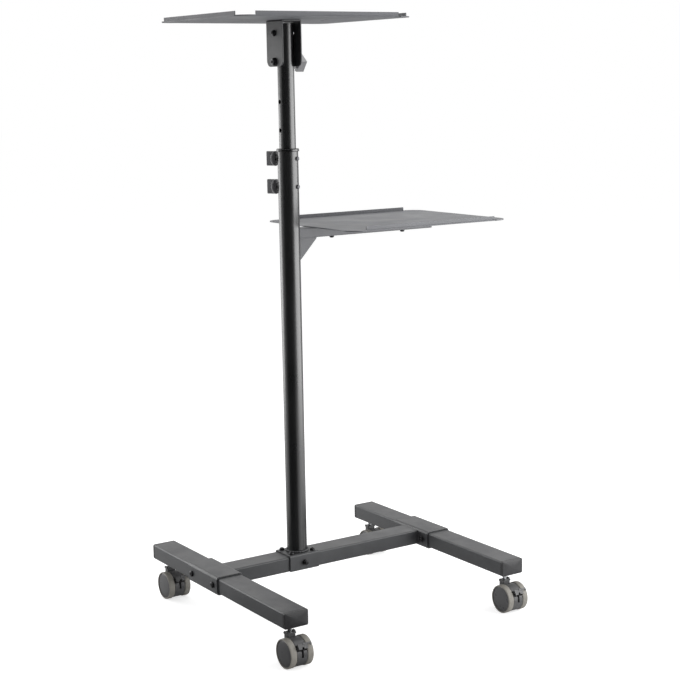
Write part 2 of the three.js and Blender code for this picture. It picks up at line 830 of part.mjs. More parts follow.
function casterHousing() {
  const arch = new THREE.Shape();
  const arcs = [
    [archRadius, archFrontDegrees, archBackDegrees],
    [axleBossRadius, axleBossBackDegrees, axleBossFrontDegrees],
    [archRadius, chinBottomDegrees, chinTopDegrees],
  ];
  for (const [radius, from, to] of arcs) {
    const turns = [from, to].map((degrees) => Math.PI - THREE.MathUtils.degToRad(degrees));
    arch.absarc(-casterTrail, wheelRadius, radius, ...turns, true);
  }
  for (const [ahead, above] of [notchLow, notchHigh]) {
    arch.lineTo(-casterTrail - ahead, wheelRadius + above);
  }
  arch.closePath();
  const neckBottom = wheelRadius + archRadius / 2;
  const neck = new THREE.BoxGeometry(neckWide, neckDeep, housingTop - neckBottom);
  neck.translate(0, 0, (housingTop + neckBottom) / 2);
  const neckTop = new THREE.BoxGeometry(neckTopWide, neckTopDeep, neckTopTall);
  neckTop.translate(0, 0, housingTop - neckTopTall / 2);
  const pieces = [runAcross(arch, housingWide, archSteps), neck, neckTop];
  for (const side of [-1, 1]) {
    const horn = new THREE.BoxGeometry(neckHornWide, neckHornDeep, neckTopTall + neckHornTall);
    const hornX = side * (neckTopWide - neckHornWide) / 2;
    pieces.push(moved(horn, hornX, 0, housingTop + (neckHornTall - neckTopTall) / 2));
  }
  const stemBore = barUp(stemRadius + turningGap, 2 * stemBoreDeep);
  const axleBore = barAcross(axleRadius + seat, housingWide + overrun);
  const knuckle = barAcross(leverKnuckleRadius + turningGap, housingWide + overrun);
  const [pivotY, pivotZ] = frontOfAxle(archRadius - leverPivotInset, leverPivotDegrees);
  return cut(join(pieces), [
    moved(stemBore, 0, 0, housingTop),
    moved(axleBore, 0, -casterTrail, wheelRadius),
    moved(knuckle, 0, pivotY, pivotZ),
  ]);
}

function casterAxle() {
  const inWheel = hubBoreDeep - seat;
  const length = housingWide + 2 * (wheelSideGap + inWheel);
  return moved(barAcross(axleRadius, length), 0, -casterTrail, wheelRadius);
}

// The brake lever turns on a knuckle at the front of the arch and its pedal hangs over the right wheel
function brakeLever() {
  const [pivotY, pivotZ] = frontOfAxle(archRadius - leverPivotInset, leverPivotDegrees);
  const knuckle = moved(barAcross(leverKnuckleRadius, leverWide), 0, pivotY, pivotZ);
  const [padY, padZ] = frontOfAxle(pedalInner + pedalThick / 2, leverAimDegrees);
  const barLong = Math.hypot(padY - pivotY, padZ - pivotZ);
  const bar = new THREE.BoxGeometry(leverWide, barLong, leverBarThick);
  bar.rotateX(Math.atan2(padZ - pivotZ, padY - pivotY));
  bar.translate(0, (padY + pivotY) / 2, (padZ + pivotZ) / 2);
  const pedal = new THREE.BoxGeometry(pedalLeft + pedalRight, pedalThick, pedalDeep);
  pedal.rotateX(-leverAim);
  pedal.translate((pedalRight - pedalLeft) / 2, padY, padZ);
  return join([knuckle, bar, pedal]);
}

// A wheel is one moulding, a tread round a hub: its outer face is at +Z and its blind bore opens at -Z.
// The flats of the tread lie at the wheel's radius, so that one of them rests on the floor.
function wheel() {
  const half = wheelWide / 2;
  const face = wheelRadius - tyreThick;
  const tread = wheelRadius / Math.cos(Math.PI / wheelSteps);
  return turned([
    [0, -half + hubBoreDeep],
    [axleRadius + turningGap, -half + hubBoreDeep],
    [axleRadius + turningGap, -half],
    [tread - tyreRound, -half],
    [tread, -half + tyreRound],
    [tread, half - tyreRound],
    [tread - tyreRound, half],
    [face, half],
    [face - hubRecess, half - hubRecess],
    [0, half - hubRecess],
  ], wheelSteps);
}

function onAxle(piece, side) {
  const copy = piece.clone();
  copy.rotateY(side * Math.PI / 2);
  copy.rotateX(Math.PI / wheelSteps);
  return moved(copy, side * wheelMiddle, -casterTrail, wheelRadius);
}

// The whole cart, with its origin on the floor under the middle of its bounding box
const reachLeft = mastToLeftLeg + sleeveHalfWide + seat + boltHeadTall;
const reachRight = shelfLeft + plateLong;
const reachFront = -frontCasterY + casterTrail + pedalReach;
const reachBack = legBackReach + seat + plugRim + plugPoint;
const part = new THREE.Group();
part.position.set((reachLeft - reachRight) / 2, (reachFront - reachBack) / 2, 0);

function add(name, geometry, material, group = part) {
  const mesh = new THREE.Mesh(geometry, material);
  mesh.name = name;
  group.add(mesh);
}

add('left_leg', leg(-mastToLeftLeg), blackCoat());
add('right_leg', leg(mastToRightLeg), blackCoat());
for (const [name, x, y] of casterPlaces) {
  add(`plug_${name}`, placedPlug(x, y > 0), blackPlastic());
}
add('crossbar', crossbar(), blackCoat());
add('left_sleeve', sleeve(-mastToLeftLeg), blackCoat());
add('right_sleeve', sleeve(mastToRightLeg), blackCoat());
for (const [end, side] of [['front', -1], ['back', 1]]) {
  const y = side * sleeveBoltSpread / 2;
  add(`sleeve_bolt_${end}_left`, sleeveBolt(-mastToLeftLeg, -1, y), blackBolt());
  add(`sleeve_bolt_${end}_right`, sleeveBolt(mastToRightLeg, 1, y), blackBolt());
}
add('mast_saddle', saddle(), blackCoat());
for (const [x, y] of saddleBoltPlaces) {
  const name = `saddle_bolt_${y < 0 ? 'front' : 'back'}_${x < 0 ? 'left' : 'right'}`;
  add(name, saddleCornerBolt(x, y), blackBolt());
}
add('saddle_cross_bolt', saddleCrossBolt(), blackBolt());
add('outer_mast_tube', outerMast(), mastCoat());
add('mast_collar', collar(), blackPlastic());
add('upper_clamp_knob', clampKnob(upperKnobHeight), blackPlastic());
add('lower_clamp_knob', clampKnob(lowerKnobHeight), blackPlastic());
add('inner_mast_tube', innerMast(), mastCoat());
add('inner_mast_guide', mastGuide(), blackPlastic());
add('shelf_arm', shelfArm(), blackCoat());
add('shelf_gusset', shelfGusset(), blackCoat());
add('lower_shelf', shelfPlate(), plateCoat());
add('shelf_screw_inner', shelfScrew(innerScrewX, armTop), blackBolt());
add('shelf_screw_outer', shelfScrew(outerScrewX, shelfTop), blackBolt());
add('tray_bracket', trayBracket(), blackCoat());
add('top_tray', tray(), plateCoat());
add('tray_screw_front', trayScrew(-1), blackBolt());
add('tray_screw_back', trayScrew(1), blackBolt());
add('tilt_bolt', tiltBolt(), blackBolt());
add('tilt_knob', tiltKnob(), blackPlastic());

for (const [name, x, y] of casterPlaces) {
  const caster = new THREE.Group();
  caster.position.set(x, y, 0);
  add(`stem_${name}`, casterStem(), brightSteel(), caster);
  add(`housing_${name}`, casterHousing(), blackPlastic(), caster);
  add(`axle_${name}`, casterAxle(), brightSteel(), caster);
  add(`brake_lever_${name}`, brakeLever(), blackPlastic(), caster);
  add(`wheel_${name}_a`, onAxle(wheel(), -1), greyTyre(), caster);
  add(`wheel_${name}_b`, onAxle(wheel(), 1), greyTyre(), caster);
  part.add(caster);
}

export default part;
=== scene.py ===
# %% [markdown]
# # An audio visual cart
# The cart has a wheeled base of two box tubes, a telescopic mast, a fixed lower shelf and a tray that
# tilts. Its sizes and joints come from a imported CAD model, which is loaded first and is never changed. Each
# visible piece is then modelled again in finer detail, in the same place and in metres, and hides its CAD
# solid. Only the axles and the guide inside the mast keep their CAD shape and are given a better material.

import math

import bpy
from mathutils import Matrix, Vector


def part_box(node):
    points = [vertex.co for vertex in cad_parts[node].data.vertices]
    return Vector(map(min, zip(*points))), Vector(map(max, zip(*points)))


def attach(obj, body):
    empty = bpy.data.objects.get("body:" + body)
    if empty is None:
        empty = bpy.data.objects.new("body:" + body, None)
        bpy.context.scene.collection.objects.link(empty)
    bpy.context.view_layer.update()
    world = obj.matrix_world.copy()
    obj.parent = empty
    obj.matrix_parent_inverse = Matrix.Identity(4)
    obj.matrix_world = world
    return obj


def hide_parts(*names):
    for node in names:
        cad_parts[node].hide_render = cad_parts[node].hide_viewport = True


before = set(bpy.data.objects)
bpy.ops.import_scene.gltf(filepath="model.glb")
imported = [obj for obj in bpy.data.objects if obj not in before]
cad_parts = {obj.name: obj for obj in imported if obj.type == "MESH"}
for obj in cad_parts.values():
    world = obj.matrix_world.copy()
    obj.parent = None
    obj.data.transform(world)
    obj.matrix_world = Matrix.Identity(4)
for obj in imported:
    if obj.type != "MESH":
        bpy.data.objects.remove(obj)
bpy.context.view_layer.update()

# %% [markdown]
# ## Selecting before each operator
# An operator acts on all that is selected, so each helper below clears the selection, picks what is wanted
# by its place or direction, and only then calls the operator. That is what clicking would do by hand.

# %% Selecting objects, faces, edges and corners
def only(piece):
    bpy.ops.object.select_all(action="DESELECT")
    piece.select_set(True)
    bpy.context.view_layer.objects.active = piece
    return piece


def edit(piece, mode, chosen, work):
    only(piece)
    bpy.context.tool_settings.mesh_select_mode = [mode == kind for kind in ("corner", "edge", "face")]
    mesh = piece.data
    for items in (mesh.vertices, mesh.edges, mesh.polygons):
        items.foreach_set("select", [False] * len(items))
    for item in chosen:
        item.select = True
    bpy.ops.object.mode_set(mode="EDIT")
    work()
    bpy.ops.object.mode_set(mode="OBJECT")
    return piece


def on_faces(piece, wanted, work):
    chosen = [face for face in piece.data.polygons if wanted(face.center, face.normal)]
    return edit(piece, "face", chosen, work)


def on_edges(piece, wanted, work):
    points = [corner.co for corner in piece.data.vertices]
    chosen = [edge for edge in piece.data.edges if wanted(*(points[i] for i in edge.vertices))]
    return edit(piece, "edge", chosen, work)


def on_corners(piece, wanted, work):
    return edit(piece, "corner", [corner for corner in piece.data.vertices if wanted(corner.co)], work)


X, Y, Z = 0, 1, 2


def runs_along(axis):
    return lambda a, b: abs((b - a).normalized()[axis]) > 0.9


def remove_faces(piece, wanted):
    return on_faces(piece, wanted, lambda: bpy.ops.mesh.delete(type="FACE"))


print("Selection helpers are ready")

# %% [markdown]
# ## Starting shapes
# A finished piece has its object at the origin, unturned and unscaled, with its place in its mesh. So each
# primitive is added at its size and place, and its transform is applied at once.

# %% Primitives at their size and place
def settle(piece):
    only(piece)
    bpy.ops.object.transform_apply(location=True, rotation=True, scale=True)
    return piece


def placed(piece, at, turn=Matrix.Identity(4)):
    piece.matrix_world = Matrix.Translation(at) @ turn
    return settle(piece)


def block(low, high):
    low, high = Vector(low), Vector(high)
    bpy.ops.object.select_all(action="DESELECT")
    bpy.ops.mesh.primitive_cube_add(size=1, location=(low + high) / 2, scale=high - low)
    return settle(bpy.context.object)


def bar(radius, start, end, steps=48, ends="NGON"):
    start, end = Vector(start), Vector(end)
    turn = (end - start).to_track_quat("Z", "Y").to_euler()
    bpy.ops.object.select_all(action="DESELECT")
    bpy.ops.mesh.primitive_cylinder_add(vertices=steps, radius=radius, depth=(end - start).length,
                                        end_fill_type=ends, location=(start + end) / 2, rotation=turn)
    return settle(bpy.context.object)


def copy_of(piece, at=(0, 0, 0), turn=Matrix.Identity(4)):
    only(piece)
    bpy.ops.object.duplicate(linked=False)
    return placed(bpy.context.object, at, turn)


def drop(*pieces):
    for piece in pieces:
        bpy.data.objects.remove(piece)


def rotation(axis, degrees):
    return Matrix.Rotation(math.radians(degrees), 4, axis)


to_left, to_right = rotation("Y", -90), rotation("Y", 90)
to_front, to_back, to_floor = rotation("X", 90), rotation("X", -90), rotation("X", 180)
print("Starting shapes are ready")

# %% [markdown]
# ## Modifiers and round forms
# Walls, rounded rims and holes come from modifiers that are applied at once. Round forms such as knobs,
# bolts and wheels are made as on a lathe: one corner is extruded along half the outline, and the outline is
# spun. The line of corners is left selected and open for editing, so that the casters can use it too.

# %% Modifiers that are applied
def modify(piece, kind, **values):
    only(piece)
    modifier = piece.modifiers.new(kind, kind)
    for name, value in values.items():
        setattr(modifier, name, value)
    bpy.ops.object.modifier_apply(modifier=modifier.name)
    return piece


def thicken(piece, wall, side=-1):
    return modify(piece, "SOLIDIFY", thickness=wall, offset=side, use_even_offset=True)


def shade(piece, angle):
    only(piece)
    bpy.ops.object.shade_smooth_by_angle(angle=math.radians(angle))
    return modify(piece, "WEIGHTED_NORMAL", keep_sharp=True)


def soften(piece, width, steps=2, angle=35, shade_angle=None):
    modify(piece, "BEVEL", width=width, segments=steps, limit_method="ANGLE", angle_limit=math.radians(angle))
    return shade(piece, shade_angle or angle)


def cut(piece, *tools):
    for tool in tools:
        modify(piece, "BOOLEAN", operation="DIFFERENCE", solver="EXACT", object=tool)
        drop(tool)
    return piece


def fuse(piece, *others):
    for other in others:
        modify(piece, "BOOLEAN", operation="UNION", solver="EXACT", object=other)
        drop(other)
    return piece


def joined(piece, *others):
    only(piece)
    for other in others:
        other.select_set(True)
    bpy.ops.object.join()
    return piece


print("Modifier helpers are ready")

# %% A line of corners, and a lathe
def arc(middle, radius, start, end, steps=5):
    turns = [math.radians(start + (end - start) * step / steps) for step in range(steps + 1)]
    return [(middle[0] + radius * math.cos(turn), middle[1] + radius * math.sin(turn)) for turn in turns]


def draw_line(points):
    bpy.ops.object.select_all(action="DESELECT")
    bpy.context.tool_settings.mesh_select_mode = (True, False, False)
    bpy.ops.mesh.primitive_plane_add(size=0.01)
    bpy.ops.object.mode_set(mode="EDIT")
    bpy.ops.mesh.merge(type="CENTER")
    bpy.ops.transform.translate(value=points[0])
    for point, following in zip(points, points[1:]):
        step = tuple(b - a for a, b in zip(point, following))
        bpy.ops.mesh.extrude_vertices_move(TRANSFORM_OT_translate={"value": step})
    bpy.ops.mesh.select_all(action="SELECT")
    return bpy.context.object


def turned(outline, steps=48, angle=30):
    piece = draw_line([(radius, 0, height) for radius, height in outline])
    bpy.ops.mesh.spin(steps=steps, angle=math.tau, center=(0, 0, 0), axis=(0, 0, 1))
    bpy.ops.mesh.select_all(action="SELECT")
    bpy.ops.mesh.remove_doubles(threshold=1e-6)
    bpy.ops.mesh.normals_make_consistent(inside=False)
    bpy.ops.object.mode_set(mode="OBJECT")
    only(piece)
    bpy.ops.object.shade_smooth_by_angle(angle=math.radians(angle))
    return piece


print("The lathe is ready")

# %% [markdown]
# ## Material helpers
# A material is a small graph of nodes. Effects that several finishes share are node groups with named
# inputs and outputs: each finish gives them its own values. All of them read Object coordinates, which are
# metres here, so a grain has its true size and stays on its piece when the piece moves.

# %% Nodes and groups
def add_node(tree, kind, inputs=None, **settings):
    made = tree.nodes.new(kind)
    for name, value in settings.items():
        setattr(made, name, value)
    for name, value in (inputs or {}).items():
        if isinstance(value, bpy.types.NodeSocket):
            tree.links.new(value, made.inputs[name])
        else:
            made.inputs[name].default_value = value
    return made


def new_group(name, inputs, outputs):
    tree = bpy.data.node_groups.new(name, "ShaderNodeTree")
    for label, value in inputs.items():
        socket = tree.interface.new_socket(label, in_out="INPUT", socket_type="NodeSocketFloat")
        socket.default_value = value
    for label in outputs:
        tree.interface.new_socket(label, in_out="OUTPUT", socket_type="NodeSocketFloat")
    return tree, tree.nodes.new("NodeGroupInput").outputs, tree.nodes.new("NodeGroupOutput").inputs


def use_group(tree, group, **inputs):
    made = add_node(tree, "ShaderNodeGroup", node_tree=group)
    for name, value in inputs.items():
        made.inputs[name.replace("_", " ").capitalize()].default_value = value
    return made.outputs


def maths(tree, operation, a, b):
    return add_node(tree, "ShaderNodeMath", {0: a, 1: b}, operation=operation).outputs["Value"]


def spread(tree, value, low, high, to_low=0.0, to_high=1.0):
    wanted = {"Value": value, "From Min": low, "From Max": high, "To Min": to_low, "To Max": to_high}
    return add_node(tree, "ShaderNodeMapRange", wanted).outputs["Result"]


def noise(tree, scale, detail, rough=0.5):
    place = add_node(tree, "ShaderNodeTexCoord").outputs["Object"]
    wanted = {"Vector": place, "Scale": scale, "Detail": detail, "Roughness": rough}
    return add_node(tree, "ShaderNodeTexNoise", wanted).outputs[0]


print("Node helpers are ready")

# %% [markdown]
# ### Grain
# Powder coat has a fine orange-peel skin and moulded plastic has a fine even grain. Both are a noise at the
# scale of the grain, with a second and much broader noise for the faint unevenness of a surface in use.

# %% Grain group
grain_group, given, wanted = new_group("Grain", {"Grain size": 0.001, "Patch size": 0.05},
                                       ["Height", "Patches"])
fine = noise(grain_group, maths(grain_group, "DIVIDE", 1.0, given["Grain size"]), 2.0)
broad = noise(grain_group, maths(grain_group, "DIVIDE", 1.0, given["Patch size"]), 3.0, 0.6)
grain_group.links.new(fine, wanted["Height"])
grain_group.links.new(broad, wanted["Patches"])
print("Grain group:", len(grain_group.nodes), "nodes")

# %% [markdown]
# ### Worn and highlighted edges
# Paint wears first where an edge is rubbed, and a rounded edge also catches a thin line of light. Here
# both are one lighter colour painted on: partly real wear, partly a painted highlight. The Bevel node gives
# the normal that a rounded edge would have, and where it departs from the true normal there is an edge.
# Noise breaks the line up, so that it looks rubbed.

# %% Edge wear and painted highlight group
wear_and_highlight_group, given, wanted = new_group("Edge wear and painted highlight", {"Reach": 0.001, "Amount": 1.0}, ["Mask"])
rounded = add_node(wear_and_highlight_group, "ShaderNodeBevel", {"Radius": given["Reach"]}, samples=4)
flat = add_node(wear_and_highlight_group, "ShaderNodeNewGeometry").outputs["Normal"]
facing = add_node(wear_and_highlight_group, "ShaderNodeVectorMath", {0: rounded.outputs[0], 1: flat},
                  operation="DOT_PRODUCT").outputs["Value"]
edge = spread(wear_and_highlight_group, facing, 0.995, 0.85)
broken = spread(wear_and_highlight_group, noise(wear_and_highlight_group, 140.0, 4.0), 0.42, 0.62)
mask = maths(wear_and_highlight_group, "MULTIPLY", maths(wear_and_highlight_group, "MULTIPLY", edge, broken), given["Amount"])
wear_and_highlight_group.links.new(mask, wanted["Mask"])
print("Edge wear and painted highlight group:", len(wear_and_highlight_group.nodes), "nodes")

# %% [markdown]
# ### Dust
# A little dust settles on what faces up. The mask is the upward part of the normal, broken up by noise.

# %% Dust group
dust_group, given, wanted = new_group("Dust", {"Amount": 0.3}, ["Mask"])
normal = add_node(dust_group, "ShaderNodeNewGeometry").outputs["Normal"]
upward = spread(dust_group, add_node(dust_group, "ShaderNodeSeparateXYZ", {0: normal}).outputs["Z"], 0.3, 1.0)
patchy = spread(dust_group, noise(dust_group, 30.0, 5.0), 0.35, 0.75)
mask = maths(dust_group, "MULTIPLY", maths(dust_group, "MULTIPLY", upward, patchy), given["Amount"])
dust_group.links.new(mask, wanted["Mask"])
print("Dust group:", len(dust_group.nodes), "nodes")

# %% [markdown]
# ## Finishes
# One helper builds a finish from these groups: a base colour that varies a little, lighter edges that are
# partly wear and partly painted highlight, dust on top, a roughness that follows the patches, and the grain
# as a bump. Each finish gives its own values.

# %% The finish helper
def linear(hex_colour):
    channels = [int(hex_colour[i:i + 2], 16) / 255 for i in (1, 3, 5)]
    return [c / 12.92 if c <= 0.04045 else ((c + 0.055) / 1.055) ** 2.4 for c in channels] + [1.0]


def mixed(tree, amount, first, second):
    return add_node(tree, "ShaderNodeMix", {0: amount, 6: first, 7: second}, data_type="RGBA").outputs[2]


def finish(name, colour, rough, grain, depth, patch=0.06, patch_colour=None, rough_range=0.08,
           wear_and_highlight_colour="#8a8a8a", wear_and_highlight=0.0, reach=0.0008, dust=0.0, metal=0.0, shine=0.5):
    material = bpy.data.materials.new(name)
    material.use_nodes = True
    tree = material.node_tree
    shader = tree.nodes["Principled BSDF"]
    skin = use_group(tree, grain_group, grain_size=grain, patch_size=patch)
    patches = spread(tree, skin["Patches"], 0.3, 0.7)
    tone = mixed(tree, patches, linear(colour), linear(patch_colour or colour))
    if wear_and_highlight:
        # Lighter edge colour: partly rubbed paint, partly a painted highlight on the rounded edges
        wear_and_highlight_mask = use_group(tree, wear_and_highlight_group, reach=reach, amount=wear_and_highlight)["Mask"]
        tone = mixed(tree, wear_and_highlight_mask, tone, linear(wear_and_highlight_colour))
    if dust:
        dust_mask = use_group(tree, dust_group, amount=dust)["Mask"]
        tone = mixed(tree, dust_mask, tone, linear("#8f8b85"))
    bump = add_node(tree, "ShaderNodeBump", {"Height": skin["Height"], "Distance": depth, "Strength": 1.0})
    tree.links.new(tone, shader.inputs["Base Color"])
    tree.links.new(spread(tree, patches, 0.0, 1.0, rough - rough_range, rough + rough_range),
                   shader.inputs["Roughness"])
    tree.links.new(bump.outputs["Normal"], shader.inputs["Normal"])
    shader.inputs["Metallic"].default_value = metal
    shader.inputs["Specular IOR Level"].default_value = shine
    return material


print("The finish helper is ready")

# %% The finishes of the cart
# Each light edge colour below is partly wear and partly a painted highlight; on the weld bead it paints
# glints
frame_coat = finish("Frame powder coat", "#37383a", 0.42, 0.0009, 0.00003, patch_colour="#3e3f41",
                    wear_and_highlight=0.35, wear_and_highlight_colour="#77787a", dust=0.1)
mast_coat = finish("Mast enamel", "#141516", 0.3, 0.0016, 0.000008, patch=0.12, patch_colour="#18191a",
                   rough_range=0.03, wear_and_highlight=0.25, wear_and_highlight_colour="#8b8c8e", shine=1.0)
plate_coat = finish("Plate powder coat", "#5d5e62", 0.5, 0.0008, 0.00004, patch_colour="#636468",
                    wear_and_highlight=0.3, wear_and_highlight_colour="#8c8d90", dust=0.12)
# The arm and gusset have the frame's black coat; this lighter copy paints in the light that falls on them
arm_coat_painted_lighter = finish("Arm powder coat painted lighter", "#5c5d60", 0.45, 0.0008, 0.00003, patch_colour="#626366",
                  wear_and_highlight=0.3, wear_and_highlight_colour="#8c8d90", dust=0.1)
black_plastic = finish("Black moulded plastic", "#1f1f21", 0.42, 0.0007, 0.00003, patch=0.02,
                       patch_colour="#252527", wear_and_highlight=0.2, wear_and_highlight_colour="#5a5a5c", dust=0.06)
hood_plastic = finish("Grained hood plastic", "#454546", 0.45, 0.0009, 0.00007, patch=0.01,
                      patch_colour="#4f4f50", wear_and_highlight=0.3, wear_and_highlight_colour="#7a7a7a", dust=0.05)
collar_plastic = finish("Smooth collar plastic", "#0e0e0f", 0.26, 0.0009, 0.00001, patch=0.02,
                        patch_colour="#131314", wear_and_highlight=0.2, wear_and_highlight_colour="#5a5a5c", shine=0.8)
# The knobs are black plastic; this mid grey is a painted reflection of light on their sides
knob_plastic_painted_sheen = finish("Grained knob plastic with painted sheen", "#5e5e60", 0.36, 0.0007, 0.00004, patch=0.015,
                      patch_colour="#6c6c6e", wear_and_highlight=0.3, wear_and_highlight_colour="#777779", dust=0.05, shine=0.8)
# A darker copy of the black frame coat: the bracket is painted darker, as shade
bracket_coat_painted_darker = finish("Bracket powder coat painted darker", "#292a2c", 0.46, 0.0009, 0.00003, patch_colour="#2e2f31",
                      wear_and_highlight=0.4, wear_and_highlight_colour="#8a8b8d", dust=0.05)
tread_grey = finish("Grey wheel tread", "#89867f", 0.62, 0.0012, 0.00005, patch=0.012,
                    patch_colour="#7d7a74", wear_and_highlight=0.15, wear_and_highlight_colour="#a8a5a0")
hub_grey = finish("Grey wheel hub", "#434345", 0.34, 0.0008, 0.00002, patch=0.015,
                  patch_colour="#4a4a4b", wear_and_highlight=0.3, wear_and_highlight_colour="#a6a6a6")
bolt_black = finish("Black oxide bolt", "#1d1d1f", 0.34, 0.0006, 0.00002, patch=0.006,
                    patch_colour="#2a2a2c", wear_and_highlight=0.5, wear_and_highlight_colour="#8d8d8f", reach=0.0005, metal=0.6)
bright_steel = finish("Bright zinc steel", "#c9cacc", 0.24, 0.0005, 0.00001, patch=0.004,
                      patch_colour="#b3b5b8", rough_range=0.06, metal=1.0)
weld_bead = finish("Painted weld bead", "#2a2b2d", 0.36, 0.0011, 0.00012, patch=0.003,
                   patch_colour="#3c3d3f", wear_and_highlight=0.5, wear_and_highlight_colour="#b5b5b5", reach=0.0006, metal=0.2)


def fit(piece, name, body, material, *nodes):
    piece.name = name
    piece.data.materials.clear()
    piece.data.materials.append(material)
    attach(piece, body)
    if nodes:
        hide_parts(*nodes)
    return piece


# %% [markdown]
# ## Places that the frame gives
# The mast axis, the ends of tubes and the middles of bolts are read from the boxes of the CAD nodes, so
# each new piece lands where its solid is. Neighbours stand a clearance apart, as in the CAD model. A hair
# is how near a corner must be to a plane to count as on it.

# %% Mast axis, middles and shared measures
def middle(node):
    low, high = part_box(node)
    return (low + high) / 2


def repaint(node, material):
    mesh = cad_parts[node].data
    mesh.materials.clear()
    mesh.materials.append(material)


mast = middle("mast_collar")


def on_mast(height, aside=0.0):
    return Vector((mast.x + aside, mast.y, height))


clearance, hair = 0.0003, 1e-5
ends = {"front": -1, "back": 1}
sides = {"left": -1, "right": 1}
print("Mast axis at", [round(value, 4) for value in mast[:2]])

# %% [markdown]
# ## Base tubes
# A leg or crossbar is a welded steel box tube. A solid bar would look the same from outside, but an open
# end would give it away. So the block has its long edges bevelled to the tube's corners, its ends removed,
# and a wall added inwards. A last small bevel rounds the sawn rims, which then catch the light.

# %% Box tubes
def box_tube(low, high, along, corner, wall):
    tube = block(low, high)
    on_edges(tube, runs_along(along), lambda: bpy.ops.mesh.bevel(offset=corner, segments=5))
    remove_faces(tube, lambda centre, normal: abs(normal[along]) > 0.9)
    thicken(tube, wall)
    return tube


for side in sides:
    leg = box_tube(*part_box(f"{side}_leg"), Y, corner=0.003, wall=0.002)
    fit(soften(leg, 0.0004), f"{side}_leg_tube", "frame", frame_coat, f"{side}_leg")
    clamp = box_tube(*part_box(f"{side}_sleeve"), Y, corner=0.006, wall=0.003)
    fit(soften(clamp, 0.0006), f"{side}_sleeve_tube", "frame", frame_coat, f"{side}_sleeve")
cross = box_tube(*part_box("crossbar"), X, corner=0.003, wall=0.002)
fit(soften(cross, 0.0004), "crossbar_tube", "frame", frame_coat, "crossbar")
print("Legs, sleeves and crossbar made")

# %% [markdown]
# ## End plugs
# Each leg end is closed by a moulded plug with a face like a very blunt pyramid. Poking the front face
# gives it a point that is then pulled out, and the bevel softens the rim as a mould does.

# %% Plugs
plug_rim = 0.006


def end_plug(node, outwards):
    low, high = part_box(node)
    tube_low, tube_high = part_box(f"{node.split('_')[-1]}_leg")
    rim_start = tube_low.y - clearance if outwards < 0 else tube_high.y + clearance
    rim_end = rim_start + outwards * plug_rim
    point = low.y if outwards < 0 else high.y
    plug = block((low.x, min(rim_start, rim_end), tube_low.z), (high.x, max(rim_start, rim_end), tube_high.z))
    on_edges(plug, runs_along(Y), lambda: bpy.ops.mesh.bevel(offset=0.003, segments=5))
    face = lambda centre, normal: normal.y * outwards > 0.9
    on_faces(plug, face, lambda: bpy.ops.mesh.poke(offset=abs(point - rim_end)))
    return soften(plug, 0.0007, 4, angle=28, shade_angle=7)


for end, outwards in ends.items():
    for side in sides:
        fit(end_plug(f"plug_{end}_{side}", outwards), f"end_plug_{end}_{side}", "frame", black_plastic,
            f"plug_{end}_{side}")
print("Four plugs made")

# %% [markdown]
# ## Bolts and nuts
# The bolts are button heads with a hexagon socket. The head is turned on the lathe and its socket is cut
# with a six-sided bar. The end that passes the nut has fine rings for its thread. Heads of the same size
# are modelled once and copied.

# %% A button head, a nut and a threaded end
def button_head(radius, tall, socket):
    edge, curve, socket_deep = 0.0008, tall * 0.75, 0.002
    rise = arc((radius - curve, edge), curve, 0, 90, 6)
    top = [(r, edge + (z - edge) * (tall - edge) / curve) for r, z in rise]
    head = turned([(0, 0), (radius, 0), *top, (0, tall)], 40)
    cut(head, bar(socket, (0, 0, tall - socket_deep), (0, 0, tall + 0.001), 6))
    only(head)
    bpy.ops.object.shade_smooth_by_angle(angle=math.radians(30))
    return head


def hexagon_nut(radius, tall):
    nut = bar(radius, (0, 0, 0), (0, 0, tall), 6)
    on_edges(nut, lambda a, b: abs(a.z - b.z) < 1e-6, lambda: bpy.ops.mesh.bevel(offset=0.0006, segments=2))
    return soften(nut, 0.0002, 1)


def threaded_end(radius, length, pitch=0.001):
    rings = int(length / pitch)
    outline = [(0, 0), (radius, 0)]
    for ring in range(rings):
        outline += [(radius, (ring + 0.3) * pitch), (radius * 0.9, (ring + 0.6) * pitch),
                    (radius, (ring + 0.9) * pitch)]
    return turned([*outline, (radius * 0.85, length), (0, length)], 24)


nut_tall = 0.005
past_nut = clearance + nut_tall
sleeve_head = button_head(radius=0.006, tall=0.0035, socket=0.0023)
saddle_head = button_head(radius=0.0053, tall=0.0045, socket=0.002)
nut_master = hexagon_nut(0.006, nut_tall)
short_end = threaded_end(0.003, length=0.0015)
long_end = threaded_end(0.0035, length=0.004)
print("Bolt parts made")

# %% Sleeve bolts, saddle bolts and the cross bolt
for side, outwards in sides.items():
    low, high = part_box(f"{side}_sleeve")
    outer, inner = (low.x, high.x) if outwards < 0 else (high.x, low.x)
    turn_out, turn_in = (to_left, to_right) if outwards < 0 else (to_right, to_left)
    for end in ends:
        spot = middle(f"sleeve_bolt_{end}_{side}")
        at = lambda x: Vector((x, spot.y, spot.z))
        head = copy_of(sleeve_head, at(outer + outwards * clearance), turn_out)
        nut = copy_of(nut_master, at(inner - outwards * clearance), turn_in)
        tip = copy_of(short_end, at(inner - outwards * past_nut), turn_in)
        fit(joined(head, nut, tip), f"sleeve_bolt_with_nut_{end}_{side}", "frame", bolt_black,
            f"sleeve_bolt_{end}_{side}")
for end in ends:
    for side in sides:
        spot = middle(f"saddle_bolt_{end}_{side}")
        at = Vector((spot.x, spot.y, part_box("mast_saddle")[1].z + clearance))
        fit(copy_of(saddle_head, at), f"saddle_corner_bolt_{end}_{side}", "frame", bolt_black,
            f"saddle_bolt_{end}_{side}")
spot = middle("saddle_cross_bolt")
low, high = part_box("mast_saddle")
head = copy_of(saddle_head, (spot.x, high.y + clearance, spot.z), to_back)
nut = copy_of(nut_master, (spot.x, low.y - clearance, spot.z), to_front)
